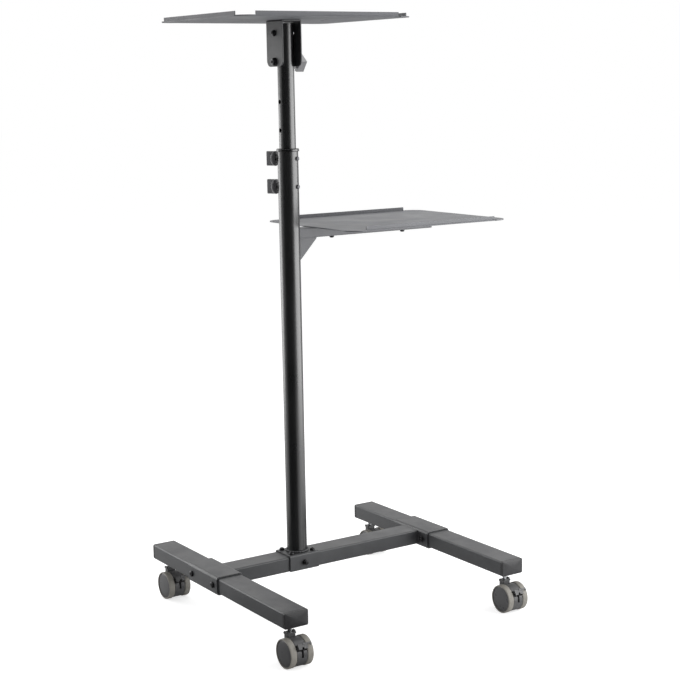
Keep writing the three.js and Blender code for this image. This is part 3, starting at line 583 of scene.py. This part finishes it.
tip = copy_of(long_end, (spot.x, low.y - past_nut, spot.z), to_front)
fit(joined(head, nut, tip), "saddle_bolt_and_nut", "frame", bolt_black, "saddle_cross_bolt")
drop(sleeve_head, saddle_head, nut_master, short_end, long_end)
print("Nine bolts fitted")

# %% [markdown]
# ## Saddle
# The saddle is one strip of steel folded over the crossbar. It is made as a block with its two folds
# bevelled, with the bottom and both ends taken away, so the wall that is added inwards follows the folds.

# %% The saddle
saddle = block(*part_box("mast_saddle"))
saddle_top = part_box("mast_saddle")[1].z
on_edges(saddle, lambda a, b: runs_along(X)(a, b) and a.z > saddle_top - hair,
         lambda: bpy.ops.mesh.bevel(offset=0.004, segments=5))
remove_faces(saddle, lambda centre, normal: normal.z < -0.9 or abs(normal.x) > 0.9)
thicken(saddle, wall=0.003)
fit(soften(saddle, 0.0006), "folded_saddle", "frame", frame_coat, "mast_saddle")
print("Saddle made")

# %% [markdown]
# ## Outer mast
# The mast is a round steel tube with threaded bosses welded on for the clamp knobs and small plugs
# opposite. The tube is an open cylinder with a wall. The bosses and plugs are short bars whose rims are
# rounded.

# %% Outer tube, bosses and plugs
def tube_up(radius, wall, bottom, top, steps=72):
    tube = bar(radius, on_mast(bottom), on_mast(top), steps, "NOTHING")
    return thicken(tube, wall)


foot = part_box("outer_mast_tube")[0].z
mast_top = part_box("outer_mast_tube")[1].z
mast_radius, inner_radius, mast_wall = 0.02, 0.016, 0.002
outer_tube = tube_up(mast_radius, mast_wall, foot, mast_top)
fit(soften(outer_tube, 0.0005), "outer_mast", "frame", mast_coat, "outer_mast_tube")
knob_degrees = 117
knob_side = Vector((math.cos(math.radians(knob_degrees)), math.sin(math.radians(knob_degrees)), 0))
in_wall, boss_end, plug_end = 0.0185, 0.0245, 0.0235


def beside_mast(height, distance):
    return on_mast(height) + knob_side * distance


for level in ("upper", "lower"):
    height = middle(f"{level}_clamp_knob").z
    boss = soften(bar(0.008, beside_mast(height, in_wall), beside_mast(height, boss_end)), 0.0006, 3)
    fit(boss, f"{level}_clamp_boss", "frame", mast_coat)
    plug = bar(0.004, beside_mast(height, -in_wall), beside_mast(height, -plug_end), 32)
    fit(soften(plug, 0.0008, 3), f"{level}_back_plug", "frame", plate_coat)
print("Outer mast", round(mast_top - foot, 4), "m long")

# %% [markdown]
# ### Weld bead
# A weld bead is a row of overlapping ripples. A torus round the foot has every second pair of its rings
# fattened, and one level of subdivision then melts the steps into ripples.

# %% The weld at the foot
ripples, ripple_deep = 44, 0.0007
rings = ripples * 4
bpy.ops.object.select_all(action="DESELECT")
bpy.ops.mesh.primitive_torus_add(major_radius=0.0208, minor_radius=0.0021, major_segments=rings,
                                 minor_segments=12, location=on_mast(foot + 0.0014))
weld = settle(bpy.context.object)


def on_ripple(point):
    turn = math.atan2(point.y - mast.y, point.x - mast.x) / math.tau % 1
    return round(turn * rings) % 4 < 2


on_corners(weld, on_ripple, lambda: bpy.ops.transform.shrink_fatten(value=ripple_deep))
modify(weld, "SUBSURF", levels=1, render_levels=1)
only(weld)
bpy.ops.object.shade_smooth()
fit(weld, "foot_weld", "frame", weld_bead)
print("Weld bead with", ripples, "ripples")

# %% [markdown]
# ## Collar
# A moulded collar guides the inner tube at the top of the outer one. Its upper edge is rounded, so the
# outline is turned with an arc there.

# %% The collar
bore, spigot, flange = 0.0163, 0.0177, 0.022
spigot_deep, flange_tall = 0.008, 0.0055
round_rim, low_edge, inner_edge = 0.0018, 0.0004, 0.0008
outline = [(bore, -spigot_deep), (spigot, -spigot_deep), (spigot, 0),
           (flange - low_edge, 0), (flange, low_edge),
           *arc((flange - round_rim, flange_tall - round_rim), round_rim, 0, 90),
           (bore + inner_edge, flange_tall), (bore, flange_tall - inner_edge), (bore, -spigot_deep)]
collar = placed(turned(outline, 72), on_mast(mast_top + clearance))
fit(collar, "top_collar", "frame", collar_plastic, "mast_collar")
print("Collar made")

# %% [markdown]
# ## Inner mast
# The inner tube slides in the outer one and has a row of holes that the clamp knobs bear on. The holes are
# cut with bars, after the wall is there, so that each shows the tube's thickness.

# %% The inner tube and its holes
low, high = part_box("inner_mast_tube")
inner_tube = tube_up(inner_radius, mast_wall, low.z, high.z)
hole_pitch, holes_below, holes_above = 0.054, 4, 2
first = middle("upper_clamp_knob").z
for step in range(-holes_below, holes_above + 1):
    height = first + step * hole_pitch
    cut(inner_tube, bar(0.0042, on_mast(height, -0.02), on_mast(height, -0.01), 28))
tilt, bolt_hole = middle("tilt_bolt").z, 0.0043
cut(inner_tube, bar(bolt_hole, on_mast(tilt, -0.02), on_mast(tilt, 0.02), 28))
fit(soften(inner_tube, 0.0004), "inner_mast", "mast_upper", mast_coat, "inner_mast_tube")
repaint("inner_mast_guide", black_plastic)
print("Inner mast", round(high.z - low.z, 4), "m long")

# %% [markdown]
# ## Wing knobs
# A knob is a moulded disc with a tapered back, a short neck and an upright paddle to grip. Disc and neck
# are turned in one, and the paddle is a block whose edges are bevelled. They are fused. The clamp knobs
# stand on the mast's bosses, so they point to the left and back. The tilt knob has the same disc.

# %% Clamp knobs
def knob_disc():
    back = [(0, 0), (0.0078, 0), (0.008, 0.0003), (0.0137, 0.0021)]
    rim = [*arc((0.0134, 0.0031), 0.0010, -70, 0, 3), *arc((0.0124, 0.0045), 0.0020, 0, 85, 6)]
    neck = [(0.0066, 0.0068), *arc((0.0066, 0.0079), 0.0011, 270, 180, 4), (0.0055, 0.0115), (0, 0.0115)]
    return turned([*back, *rim, *neck], 56)


grip_top = 0.022
grip = block((-0.014, -0.004, 0.0075), (0.014, 0.004, grip_top))
on_edges(grip, runs_along(Z), lambda: bpy.ops.mesh.bevel(offset=0.002, segments=4))
on_edges(grip, lambda a, b: min(a.z, b.z) > grip_top - hair,
         lambda: bpy.ops.mesh.bevel(offset=0.0012, segments=3))
clamp_knob = soften(fuse(knob_disc(), grip), 0.0004, 2, 40)
knob_turn = rotation("Z", knob_degrees - 180) @ to_left
for level in ("upper", "lower"):
    stud = bar(0.003, (0, 0, -0.0078), (0, 0, 0.002), 24)
    seat = beside_mast(middle(f"{level}_clamp_knob").z, boss_end + clearance)
    knob = placed(joined(copy_of(clamp_knob), stud), seat, knob_turn)
    fit(knob, f"{level}_wing_knob", f"{level}_knob_body", knob_plastic_painted_sheen, f"{level}_clamp_knob")
drop(clamp_knob)
print("Two clamp knobs made")

# %% [markdown]
# ### Tilt knob
# This paddle is larger and cut like a gem: thickest along a ridge near its middle, thin at both ends, and
# drawn in towards one end. A block is bisected at the ridge, and the corners of its ends are then pulled
# in.

# %% The tilt knob
bracket_low, bracket_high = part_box("tray_bracket")
ridge, gem_half, gem_top, near_end = -0.002, 0.019, 0.025, 0.001
gem = block((-gem_half, -0.0062, 0.006), (gem_half, 0.0062, gem_top))
on_faces(gem, lambda centre, normal: True,
         lambda: bpy.ops.mesh.bisect(plane_co=(ridge, 0, 0), plane_no=(1, 0, 0)))
for end, thinner, lower in ((-1, 0.0036, 0.0145), (1, 0.0030, 0.0030)):
    for side in (-1, 1):
        on_corners(gem, lambda point: point.x * end > gem_half - near_end and point.y * side > 0,
                   lambda: bpy.ops.transform.translate(value=(0, -side * thinner, 0)))
    on_corners(gem, lambda point: point.x * end > gem_half - near_end and point.z > gem_top - near_end,
               lambda: bpy.ops.transform.translate(value=(0, 0, -lower)))
tilt_wing = cut(fuse(knob_disc(), gem), bar(bolt_hole, (0, 0, -0.001), (0, 0, 0.0055), 28))
soften(tilt_wing, 0.0008, 3, angle=14, shade_angle=10)
tilt_knob_degrees = 18
turn = rotation("X", tilt_knob_degrees) @ to_right
placed(tilt_wing, (bracket_high.x + clearance, mast.y, tilt), turn)
fit(tilt_wing, "tilt_wing_knob", "tilt_knob_body", knob_plastic_painted_sheen, "tilt_knob")
print("Tilt knob made")

# %% [markdown]
# ## Top bracket and tilt bolt
# The bracket is a strip folded into a U with its open side down. It is a block with two folds bevelled and
# three kinds of face removed. The lower corners are rounded while it is still a thin surface.

# %% The bracket
bracket = block(bracket_low, bracket_high)
on_edges(bracket, lambda a, b: runs_along(Y)(a, b) and a.z > bracket_high.z - hair,
         lambda: bpy.ops.mesh.bevel(offset=0.003, segments=5))
remove_faces(bracket, lambda centre, normal: normal.z < -0.9 or abs(normal.y) > 0.9)
on_corners(bracket, lambda point: point.z < bracket_low.z + hair,
           lambda: bpy.ops.mesh.bevel(offset=0.012, segments=8, affect="VERTICES"))
thicken(bracket, wall=0.0025)
lock = tilt + 0.0535
for start, height in ((-0.03, tilt), (0.01, lock)):
    cut(bracket, bar(bolt_hole, on_mast(height, start), on_mast(height, 0.03), 32))
# The bracket wears the darker copy of the frame coat, which is painted shade
fit(soften(bracket, 0.0005), "folded_bracket", "tray_head", bracket_coat_painted_darker, "tray_bracket")
lock_screw = button_head(radius=0.006, tall=0.005, socket=0.0022)
placed(lock_screw, (bracket_low.x - 0.0001, mast.y, lock), to_left)
fit(lock_screw, "bracket_lock_screw", "tray_head", bolt_black)
shank = bar(0.004, on_mast(tilt, -0.019), (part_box("tilt_bolt")[1].x, mast.y, tilt), 32)
head = button_head(radius=0.008, tall=0.006, socket=0.003)
placed(head, (bracket_low.x - clearance, mast.y, tilt), to_left)
fit(joined(shank, head), "tilt_pivot_bolt", "mast_upper", bolt_black, "tilt_bolt")
print("Bracket and tilt bolt made")

# %% [markdown]
# ## Tray and shelf
# Both are cut from 2 mm sheet and folded: a plate with round corners, and lips that turn up along its
# sides. Solid lips on a slab would miss the soft folds, so a thin surface is folded as the press does it.
# Its corners are rounded, small notches are cut at the lips' ends, and each lip is spun round its fold and
# drawn up. The sheet's thickness comes last.

# %% Folding a plate
sheet = 0.002


def folded_plate(low, high, long_lip, short_lip):
    fold, tall, notch = 0.003, high.z - low.z, 0.002
    centre = (low + high) / 2
    half = Vector(((high.x - low.x) / 2, (high.y - low.y) / 2))
    level = low.z + sheet / 2
    bpy.ops.object.select_all(action="DESELECT")
    bpy.ops.mesh.primitive_plane_add(size=1, location=(centre.x, centre.y, level))
    plate = bpy.context.object
    plate.scale = (2 * half.x, 2 * half.y, 1)
    settle(plate)
    on_corners(plate, lambda point: True,
               lambda: bpy.ops.mesh.bevel(offset=0.030, segments=10, affect="VERTICES"))
    lips = [(Y, side, long_lip) for side in (-1, 1)]
    if short_lip:
        lips += [(X, side, short_lip) for side in (-1, 1)]

    def slice_at(axis, distance):
        place, normal = centre.copy(), Vector((0, 0, 0))
        place[axis] += distance
        normal[axis] = 1
        on_faces(plate, lambda middle, up: True,
                 lambda: bpy.ops.mesh.bisect(plane_co=place, plane_no=normal))

    for axis, side, length in lips:
        slice_at(axis, side * (half[axis] - fold))
        for end in (-1, 1):
            slice_at(1 - axis, end * length / 2)
            slice_at(1 - axis, end * (length / 2 + notch))
    for axis, side, length in lips:
        other = 1 - axis
        outside = lambda point: (point[axis] - centre[axis]) * side > half[axis] - fold
        within = lambda point, room: abs(point[other] - centre[other]) < length / 2 + room
        remove_faces(plate, lambda middle, up: outside(middle) and within(middle, notch))
        edge = centre[axis] + side * (half[axis] - fold)
        on_line = lambda a, b: all(abs(point[axis] - edge) < hair and abs(point.z - level) < hair
                                   and within(point, hair) for point in (a, b))
        hinge = Vector((centre.x, centre.y, low.z + fold))
        hinge[axis] = edge
        spin_axis = Vector((0, -side, 0)) if axis == X else Vector((side, 0, 0))

        def fold_up():
            bpy.ops.mesh.spin(steps=5, angle=math.pi / 2, center=hinge, axis=spin_axis)
            bpy.ops.mesh.extrude_region_move(TRANSFORM_OT_translate={"value": (0, 0, tall - fold)})

        on_edges(plate, on_line, fold_up)
        lip_end = lambda point: (point.z > high.z - hair and outside(point)
                                 and abs(abs(point[other] - centre[other]) - length / 2) < hair)
        on_corners(plate, lip_end,
                   lambda: bpy.ops.mesh.bevel(offset=0.004, segments=5, affect="VERTICES"))
    on_faces(plate, lambda middle, up: True, lambda: bpy.ops.mesh.normals_make_consistent(inside=False))
    return thicken(plate, sheet, 0)


print("Plates can be folded")

# %% The tray
tray_low, tray_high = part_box("top_tray")
long_lip, short_lip = 0.308, 0.272
tray = folded_plate(tray_low, tray_high, long_lip, short_lip)
slot_apart, slot_wide, slot_long = 0.089, 0.008, 0.030
for side in (-1, 1):
    low = Vector((mast.x + side * slot_apart - slot_wide / 2, mast.y - slot_long / 2, tray_low.z - 0.005))
    slot = block(low, low + Vector((slot_wide, slot_long, 0.012)))
    on_edges(slot, runs_along(Z), lambda: bpy.ops.mesh.bevel(offset=0.0036, segments=6))
    cut(tray, slot)
for end in ends:
    spot = middle(f"tray_screw_{end}")
    cut(tray, bar(0.0053, (spot.x, spot.y, tray_low.z - 0.002), (spot.x, spot.y, tray_low.z + 0.004), 36))
    screw = turned([(0, -0.005), (0.003, -0.005), (0.003, -0.0018), (0.005, 0), (0, 0)], 36)
    cut(screw, bar(0.0023, (0, 0, -0.0015), (0, 0, 0.001), 6))
    placed(screw, (spot.x, spot.y, tray_low.z + sheet))
    fit(screw, f"tray_flush_screw_{end}", "tray_head", bolt_black, f"tray_screw_{end}")
fit(soften(tray, 0.0005, 2, 40), "folded_tray", "tray_head", plate_coat, "top_tray")
print("Tray made with", len(tray.data.polygons), "faces")

# %% The shelf
shelf_low, shelf_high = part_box("lower_shelf")
shelf = folded_plate(shelf_low, shelf_high, long_lip, None)
outer_screw = middle("shelf_screw_outer")
cut(shelf, bar(0.0033, (outer_screw.x, outer_screw.y, shelf_low.z - 0.002),
               (outer_screw.x, outer_screw.y, shelf_low.z + 0.004), 32))
fit(soften(shelf, 0.0005, 2, 40), "folded_shelf", "frame", plate_coat, "lower_shelf")
print("Shelf made with", len(shelf.data.polygons), "faces")

# %% [markdown]
# ## Arm and gusset under the shelf
# The arm is a box tube whose inner end is sawn round to sit on the mast. A bar the size of the mast cuts
# that end. The gusset is a block with its lower corner sliced away.

# %% Arm, gusset and shelf screws
arm_low, arm_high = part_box("shelf_arm")
arm = box_tube((mast.x + 0.012, arm_low.y, arm_low.z), arm_high, X, corner=0.0025, wall=0.002)
cut(arm, bar(mast_radius + clearance, on_mast(arm_low.z - 0.01), on_mast(arm_high.z + 0.01), 72))
# The arm and gusset wear the lighter copy of the frame coat, which is painted light
fit(soften(arm, 0.0005), "shelf_arm_tube", "frame", arm_coat_painted_lighter, "shelf_arm")
gusset_low, gusset_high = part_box("shelf_gusset")
gusset, toe = block(gusset_low, gusset_high), 0.003
on_faces(gusset, lambda centre, normal: True, lambda: bpy.ops.mesh.bisect(
    plane_co=(gusset_high.x, mast.y, gusset_high.z - toe),
    plane_no=(gusset_high.z - gusset_low.z - toe, 0, -(gusset_high.x - gusset_low.x - toe)),
    use_fill=True, clear_outer=True))
fit(soften(gusset, 0.0006), "arm_gusset", "frame", arm_coat_painted_lighter, "shelf_gusset")
for name in ("inner", "outer"):
    low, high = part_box(f"shelf_screw_{name}")
    spot = (low + high) / 2
    head = button_head(radius=0.005, tall=0.0045, socket=0.002)
    placed(head, (spot.x, spot.y, arm_low.z - clearance), to_floor)
    tip = bar(0.003, (spot.x, spot.y, arm_low.z), (spot.x, spot.y, high.z), 28)
    fit(joined(head, soften(tip, 0.0004)), f"shelf_arm_screw_{name}", "frame", bolt_black,
        f"shelf_screw_{name}")
print("Arm, gusset and screws made")

# %% [markdown]
# ## Casters
# Each twin-wheel caster has a bright stem, a dark hood between the wheels and a foot brake. All of them are
# alike, so each piece is modelled once round a stem at the origin and copied to the four places.

# %% Caster places
casters = {f"{end}_{side}": middle(f"stem_{end}_{side}") for end in ends for side in sides}
trail, axle_height, stem_bottom = 0.016, 0.0275, 0.0453
print("Casters:", ", ".join(casters))


def in_front(radius, degrees):
    turn = math.radians(degrees)
    return Vector((0, -trail - radius * math.cos(turn), axle_height + radius * math.sin(turn)))


def round_axle(radius, start, end, steps):
    return [in_front(radius, start + (end - start) * step / steps) for step in range(steps + 1)]


def pressed(outline, half):
    piece = draw_line([(-half, point.y, point.z) for point in outline])
    bpy.ops.mesh.edge_face_add()
    bpy.ops.mesh.extrude_region_move(TRANSFORM_OT_translate={"value": (2 * half, 0, 0)})
    bpy.ops.mesh.select_all(action="SELECT")
    bpy.ops.mesh.normals_make_consistent(inside=False)
    bpy.ops.object.mode_set(mode="OBJECT")
    return piece


# %% [markdown]
# ### Stem and hood
# The hood fills the space between the wheels. Its outline is an arch over the top, a boss round the axle
# and a chin in front, with a notch above the chin for the brake. The outline is drawn corner by corner,
# filled and pressed out sideways. A square neck with two small horns stands on it, and a slot runs down its
# chin.

# %% The stem and the hood
stem = turned([(0, stem_bottom), (0.004, stem_bottom), (0.004, 0.0704), (0.0052, 0.0705), (0.0056, 0.0709),
               (0.0056, 0.0742), (0.0052, 0.0747), (0.004, 0.0747), (0.004, 0.095), (0, 0.095)], 40)
hood_half, rim = 0.0105, 0.0265
neck_foot, neck_head = 0.041, 0.060
brake_notch = [in_front(0.0164, 37.6), in_front(0.0230, 50.8)]
hood = pressed([*round_axle(rim, 44, 192, 37), *round_axle(0.008, 235, 290, 8),
                *round_axle(rim, 298, 378, 20), *brake_notch], hood_half)
chin_slot = block((-0.0015, -0.004, -0.008), (0.0030, 0.006, 0.010))
placed(chin_slot, in_front(rim, 8), rotation("X", -8))
neck = block((-0.0085, -0.007, neck_foot), (0.0085, 0.007, neck_head))
on_edges(neck, runs_along(Z), lambda: bpy.ops.mesh.bevel(offset=0.002, segments=4))
neck_top = block((-0.010, -0.006, neck_head - 0.003), (0.010, 0.006, neck_head))
horns, horn_out, horn_half = [], 0.0075, 0.0023
for side in (-1, 1):
    horn = block((side * horn_out - horn_half, -0.004, 0.058), (side * horn_out + horn_half, 0.004, 0.0625))
    on_corners(horn, lambda point: point.x * side < horn_out and point.z > neck_head,
               lambda: bpy.ops.transform.translate(value=(0, 0, -0.0027)))
    horns.append(horn)
fuse(hood, neck, neck_top, *horns)
pivot = in_front(0.019, 50)
cut(hood, bar(0.0043, (0, 0, 0.045), (0, 0, 0.08), 32),
    bar(0.0033, (-0.02, -trail, axle_height), (0.02, -trail, axle_height), 28),
    bar(0.0046, (-0.02, pivot.y, pivot.z), (0.02, pivot.y, pivot.z), 32), chin_slot)
soften(hood, 0.0005, 2, 32)
for name, spot in casters.items():
    fit(copy_of(stem, (spot.x, spot.y, 0)), f"caster_stem_{name}", "frame", bright_steel, f"stem_{name}")
    fit(copy_of(hood, (spot.x, spot.y, 0)), f"caster_hood_{name}", f"caster_{name}", hood_plastic,
        f"housing_{name}")
    repaint(f"axle_{name}", bright_steel)
drop(stem, hood)
print("Stems and hoods made")

# %% [markdown]
# ### Foot brake
# The brake is a moulded clip in front of the hood: a plate with a slot in its lower edge, an arm back to
# its pivot, and at the top an ear that reaches over one wheel and ends in a small hook.

# %% The brake
pad_degrees = 33
pad = in_front(0.0312, pad_degrees)
plate = block((-0.0085, -0.0011, -0.0048), (0.0105, 0.0011, 0.0052))
slot = block((-0.0015, -0.004, -0.012), (0.0030, 0.004, -0.0010))
on_edges(slot, runs_along(Y), lambda: bpy.ops.mesh.bevel(offset=0.0012, segments=4))
cut(plate, slot)
ear = block((0.002, -0.0022, 0.0028), (0.0185, 0.0008, 0.0056))
hook = block((0.0162, -0.0022, -0.0004), (0.0185, 0.0008, 0.0040))
fuse(plate, ear, hook)
placed(plate, pad, rotation("X", -pad_degrees))
knuckle = bar(0.0043, (-0.0098, pivot.y, pivot.z), (0.0098, pivot.y, pivot.z), 36)
reach = pad - pivot
link = block((-0.0080, 0, -0.002), (0.0098, reach.length, 0.002))
placed(link, pivot, Matrix.Rotation(math.atan2(reach.z, reach.y), 4, "X"))
brake = soften(fuse(plate, link, knuckle), 0.0005, 2, 32)
for name, spot in casters.items():
    fit(copy_of(brake, (spot.x, spot.y, 0)), f"brake_clip_{name}", f"brake_{name}", hood_plastic,
        f"brake_lever_{name}")
drop(brake)
print("Brakes made")

# %% [markdown]
# ### Wheels
# A wheel has a pale moulded tread round a dark hub disc, which is a little domed and reaches nearly to the
# rim. Both are turned on the lathe. They are two pieces that ride together, so each keeps its own finish.

# %% Treads and hubs
half, gap, seam = 0.00625, 0.00075, 0.0250
shoulder, edge = 0.0018, 0.0004
shoulder_middle = axle_height - shoulder
tread = turned([(seam, half - edge), (seam + edge, half),
                *arc((shoulder_middle, half - shoulder), shoulder, 90, 0, 6),
                *arc((shoulder_middle, -half + shoulder), shoulder, 0, -90, 6),
                (seam, -half), (seam, half - edge)], 96)
outer_face = [(0, 0.0060), (0.010, 0.0059), (0.017, 0.0056), (0.0225, 0.0051), (0.0240, 0.0047),
              (0.0244, 0.0044)]
inner_face = [(0.0236, -0.0052), (0.0225, -0.0046), (0.0075, -0.0046), (0.0065, -0.0060)]
axle_hole = [(0.0033, -0.0060), (0.0033, 0.0018), (0, 0.0018)]
hub = turned([*outer_face, (seam, 0.0044), (seam, -0.0056), *inner_face, *axle_hole], 96)
for name, spot in casters.items():
    for letter, side in (("a", -1), ("b", 1)):
        at = Vector((spot.x + side * (hood_half + gap + half), spot.y - trail, axle_height))
        turn = to_left if side < 0 else to_right
        body = f"roller_{name}_{letter}"
        fit(copy_of(tread, at, turn), f"tread_{name}_{letter}", body, tread_grey, f"wheel_{name}_{letter}")
        fit(copy_of(hub, at, turn), f"hub_{name}_{letter}", body, hub_grey)
drop(tread, hub)
print("Eight wheels made")

# %% [markdown]
# ## Floor, light and camera
# The background is plain white and the floor keeps a soft shadow. Soft lamps at the right and the left give
# the dark tubes their pale bands, one overhead lights the plates, and a dark card keeps the tubes' middles
# black. The camera stands where the picture was taken from: its place, turn and lens come from matching the
# ends of the tubes in the picture with the same points on the frame.

# %% The floor
bpy.ops.object.select_all(action="DESELECT")
bpy.ops.mesh.primitive_plane_add(size=60, location=(0, 0, 0))
floor = bpy.context.object
floor.name = "floor"
white = bpy.data.materials.new("White floor")
white.use_nodes = True
tree = white.node_tree
shader = tree.nodes["Principled BSDF"]
shader.inputs["Base Color"].default_value = (0.8, 0.8, 0.8, 1)
shader.inputs["Roughness"].default_value = 0.9
shader.inputs["Specular IOR Level"].default_value = 0.0
seen = add_node(tree, "ShaderNodeLightPath").outputs["Is Camera Ray"]
floor_glow = maths(tree, "MULTIPLY", seen, 0.6)
glow = add_node(tree, "ShaderNodeEmission", {"Color": (1, 1, 1, 1), "Strength": floor_glow})
both = add_node(tree, "ShaderNodeAddShader", {0: shader.outputs[0], 1: glow.outputs[0]})
tree.links.new(both.outputs[0], tree.nodes["Material Output"].inputs["Surface"])
floor.data.materials.append(white)
print("Floor made")

# %% The world
world = bpy.data.worlds.new("Plain studio")
bpy.context.scene.world = world
world.use_nodes = True
tree = world.node_tree
tree.nodes.clear()
path = add_node(tree, "ShaderNodeLightPath").outputs
shown = maths(tree, "MAXIMUM", path["Is Camera Ray"], path["Is Transmission Ray"])
shown = maths(tree, "MAXIMUM", shown, path["Is Glossy Ray"])
strength = spread(tree, shown, 0.0, 1.0, 0.5, 1.0)
backdrop = add_node(tree, "ShaderNodeBackground", {"Color": (1, 1, 1, 1), "Strength": strength})
add_node(tree, "ShaderNodeOutputWorld", {"Surface": backdrop.outputs[0]})
print("World made")


# %% The lamps
def soft_light(name, at, target, wide, tall, glow):
    lamp = bpy.data.lights.new(name, "AREA")
    lamp.shape, lamp.size, lamp.size_y = "RECTANGLE", wide, tall
    lamp.energy = glow * math.pi * wide * tall
    holder = bpy.data.objects.new(name, lamp)
    holder.visible_camera = False
    bpy.context.scene.collection.objects.link(holder)
    holder.location = at
    holder.rotation_euler = (Vector(target) - Vector(at)).to_track_quat("-Z", "Y").to_euler()


def round_the_mast(degrees, distance, height):
    turn = math.radians(degrees)
    return (mast.x + distance * math.cos(turn), mast.y + distance * math.sin(turn), height)


soft_light("right_softbox", round_the_mast(-38, 1.75, 0.64), on_mast(0.62), wide=2.1, tall=1.24, glow=4.4)
soft_light("left_softbox", round_the_mast(118, 2.0, 0.5), on_mast(0.48), wide=1.4, tall=0.96, glow=3.4)
soft_light("left_rim", round_the_mast(112, 2.8, 1.75), on_mast(0.1), wide=1.6, tall=0.5, glow=4.6)
soft_light("top_softbox", (0.6, 0.3, 3.2), (0.1, 0, 0.5), wide=2.0, tall=2.0, glow=2.3)
print("Four soft lamps set")

# %% A dark card that only reflections see
card_radius, card_tall, card_thick = 2.3, 2.6, 0.0006


def bearing(point):
    return math.degrees(math.atan2(point.y - mast.y, point.x - mast.x)) % 360


card = bar(card_radius, on_mast(0), on_mast(card_tall), 120)
remove_faces(card, lambda centre, normal: abs(normal.z) >= 0.5 or not 170 < bearing(centre) < 275)
low_card = bar(card_radius, on_mast(0), on_mast(card_thick), 120, "TRIFAN")
remove_faces(low_card, lambda centre, normal: normal.z < 0.5 or not 165 < bearing(centre) < 265)
joined(card, low_card)
card.name = "dark_card"
black = bpy.data.materials.new("Dark card")
black.use_nodes = True
black.node_tree.nodes["Principled BSDF"].inputs["Base Color"].default_value = (0.01, 0.01, 0.01, 1)
card.data.materials.append(black)
card.visible_camera = card.visible_diffuse = card.visible_shadow = card.visible_transmission = False
print("Dark card with", len(card.data.polygons), "faces")

# %% The camera
yaw, pitch, roll = 0.57953, 0.16648, -0.0183
camera_place = (-1.64445, -2.480759, 1.0318)
ahead = Vector((math.sin(yaw) * math.cos(pitch), math.cos(yaw) * math.cos(pitch), -math.sin(pitch)))
level_right = Vector((math.cos(yaw), -math.sin(yaw), 0))
level_up = level_right.cross(ahead)
right = math.cos(roll) * level_right + math.sin(roll) * level_up
up = math.cos(roll) * level_up - math.sin(roll) * level_right
camera_data = bpy.data.cameras.new("camera")
camera_data.sensor_width, camera_data.lens = 36, 81.175
camera = bpy.data.objects.new("camera", camera_data)
bpy.context.scene.collection.objects.link(camera)
camera_turn = Matrix((right, up, -ahead)).transposed().to_4x4()
camera.matrix_world = Matrix.Translation(camera_place) @ camera_turn
bpy.context.scene.camera = camera
bpy.context.scene.view_settings.view_transform = "Standard"
print("Camera set")
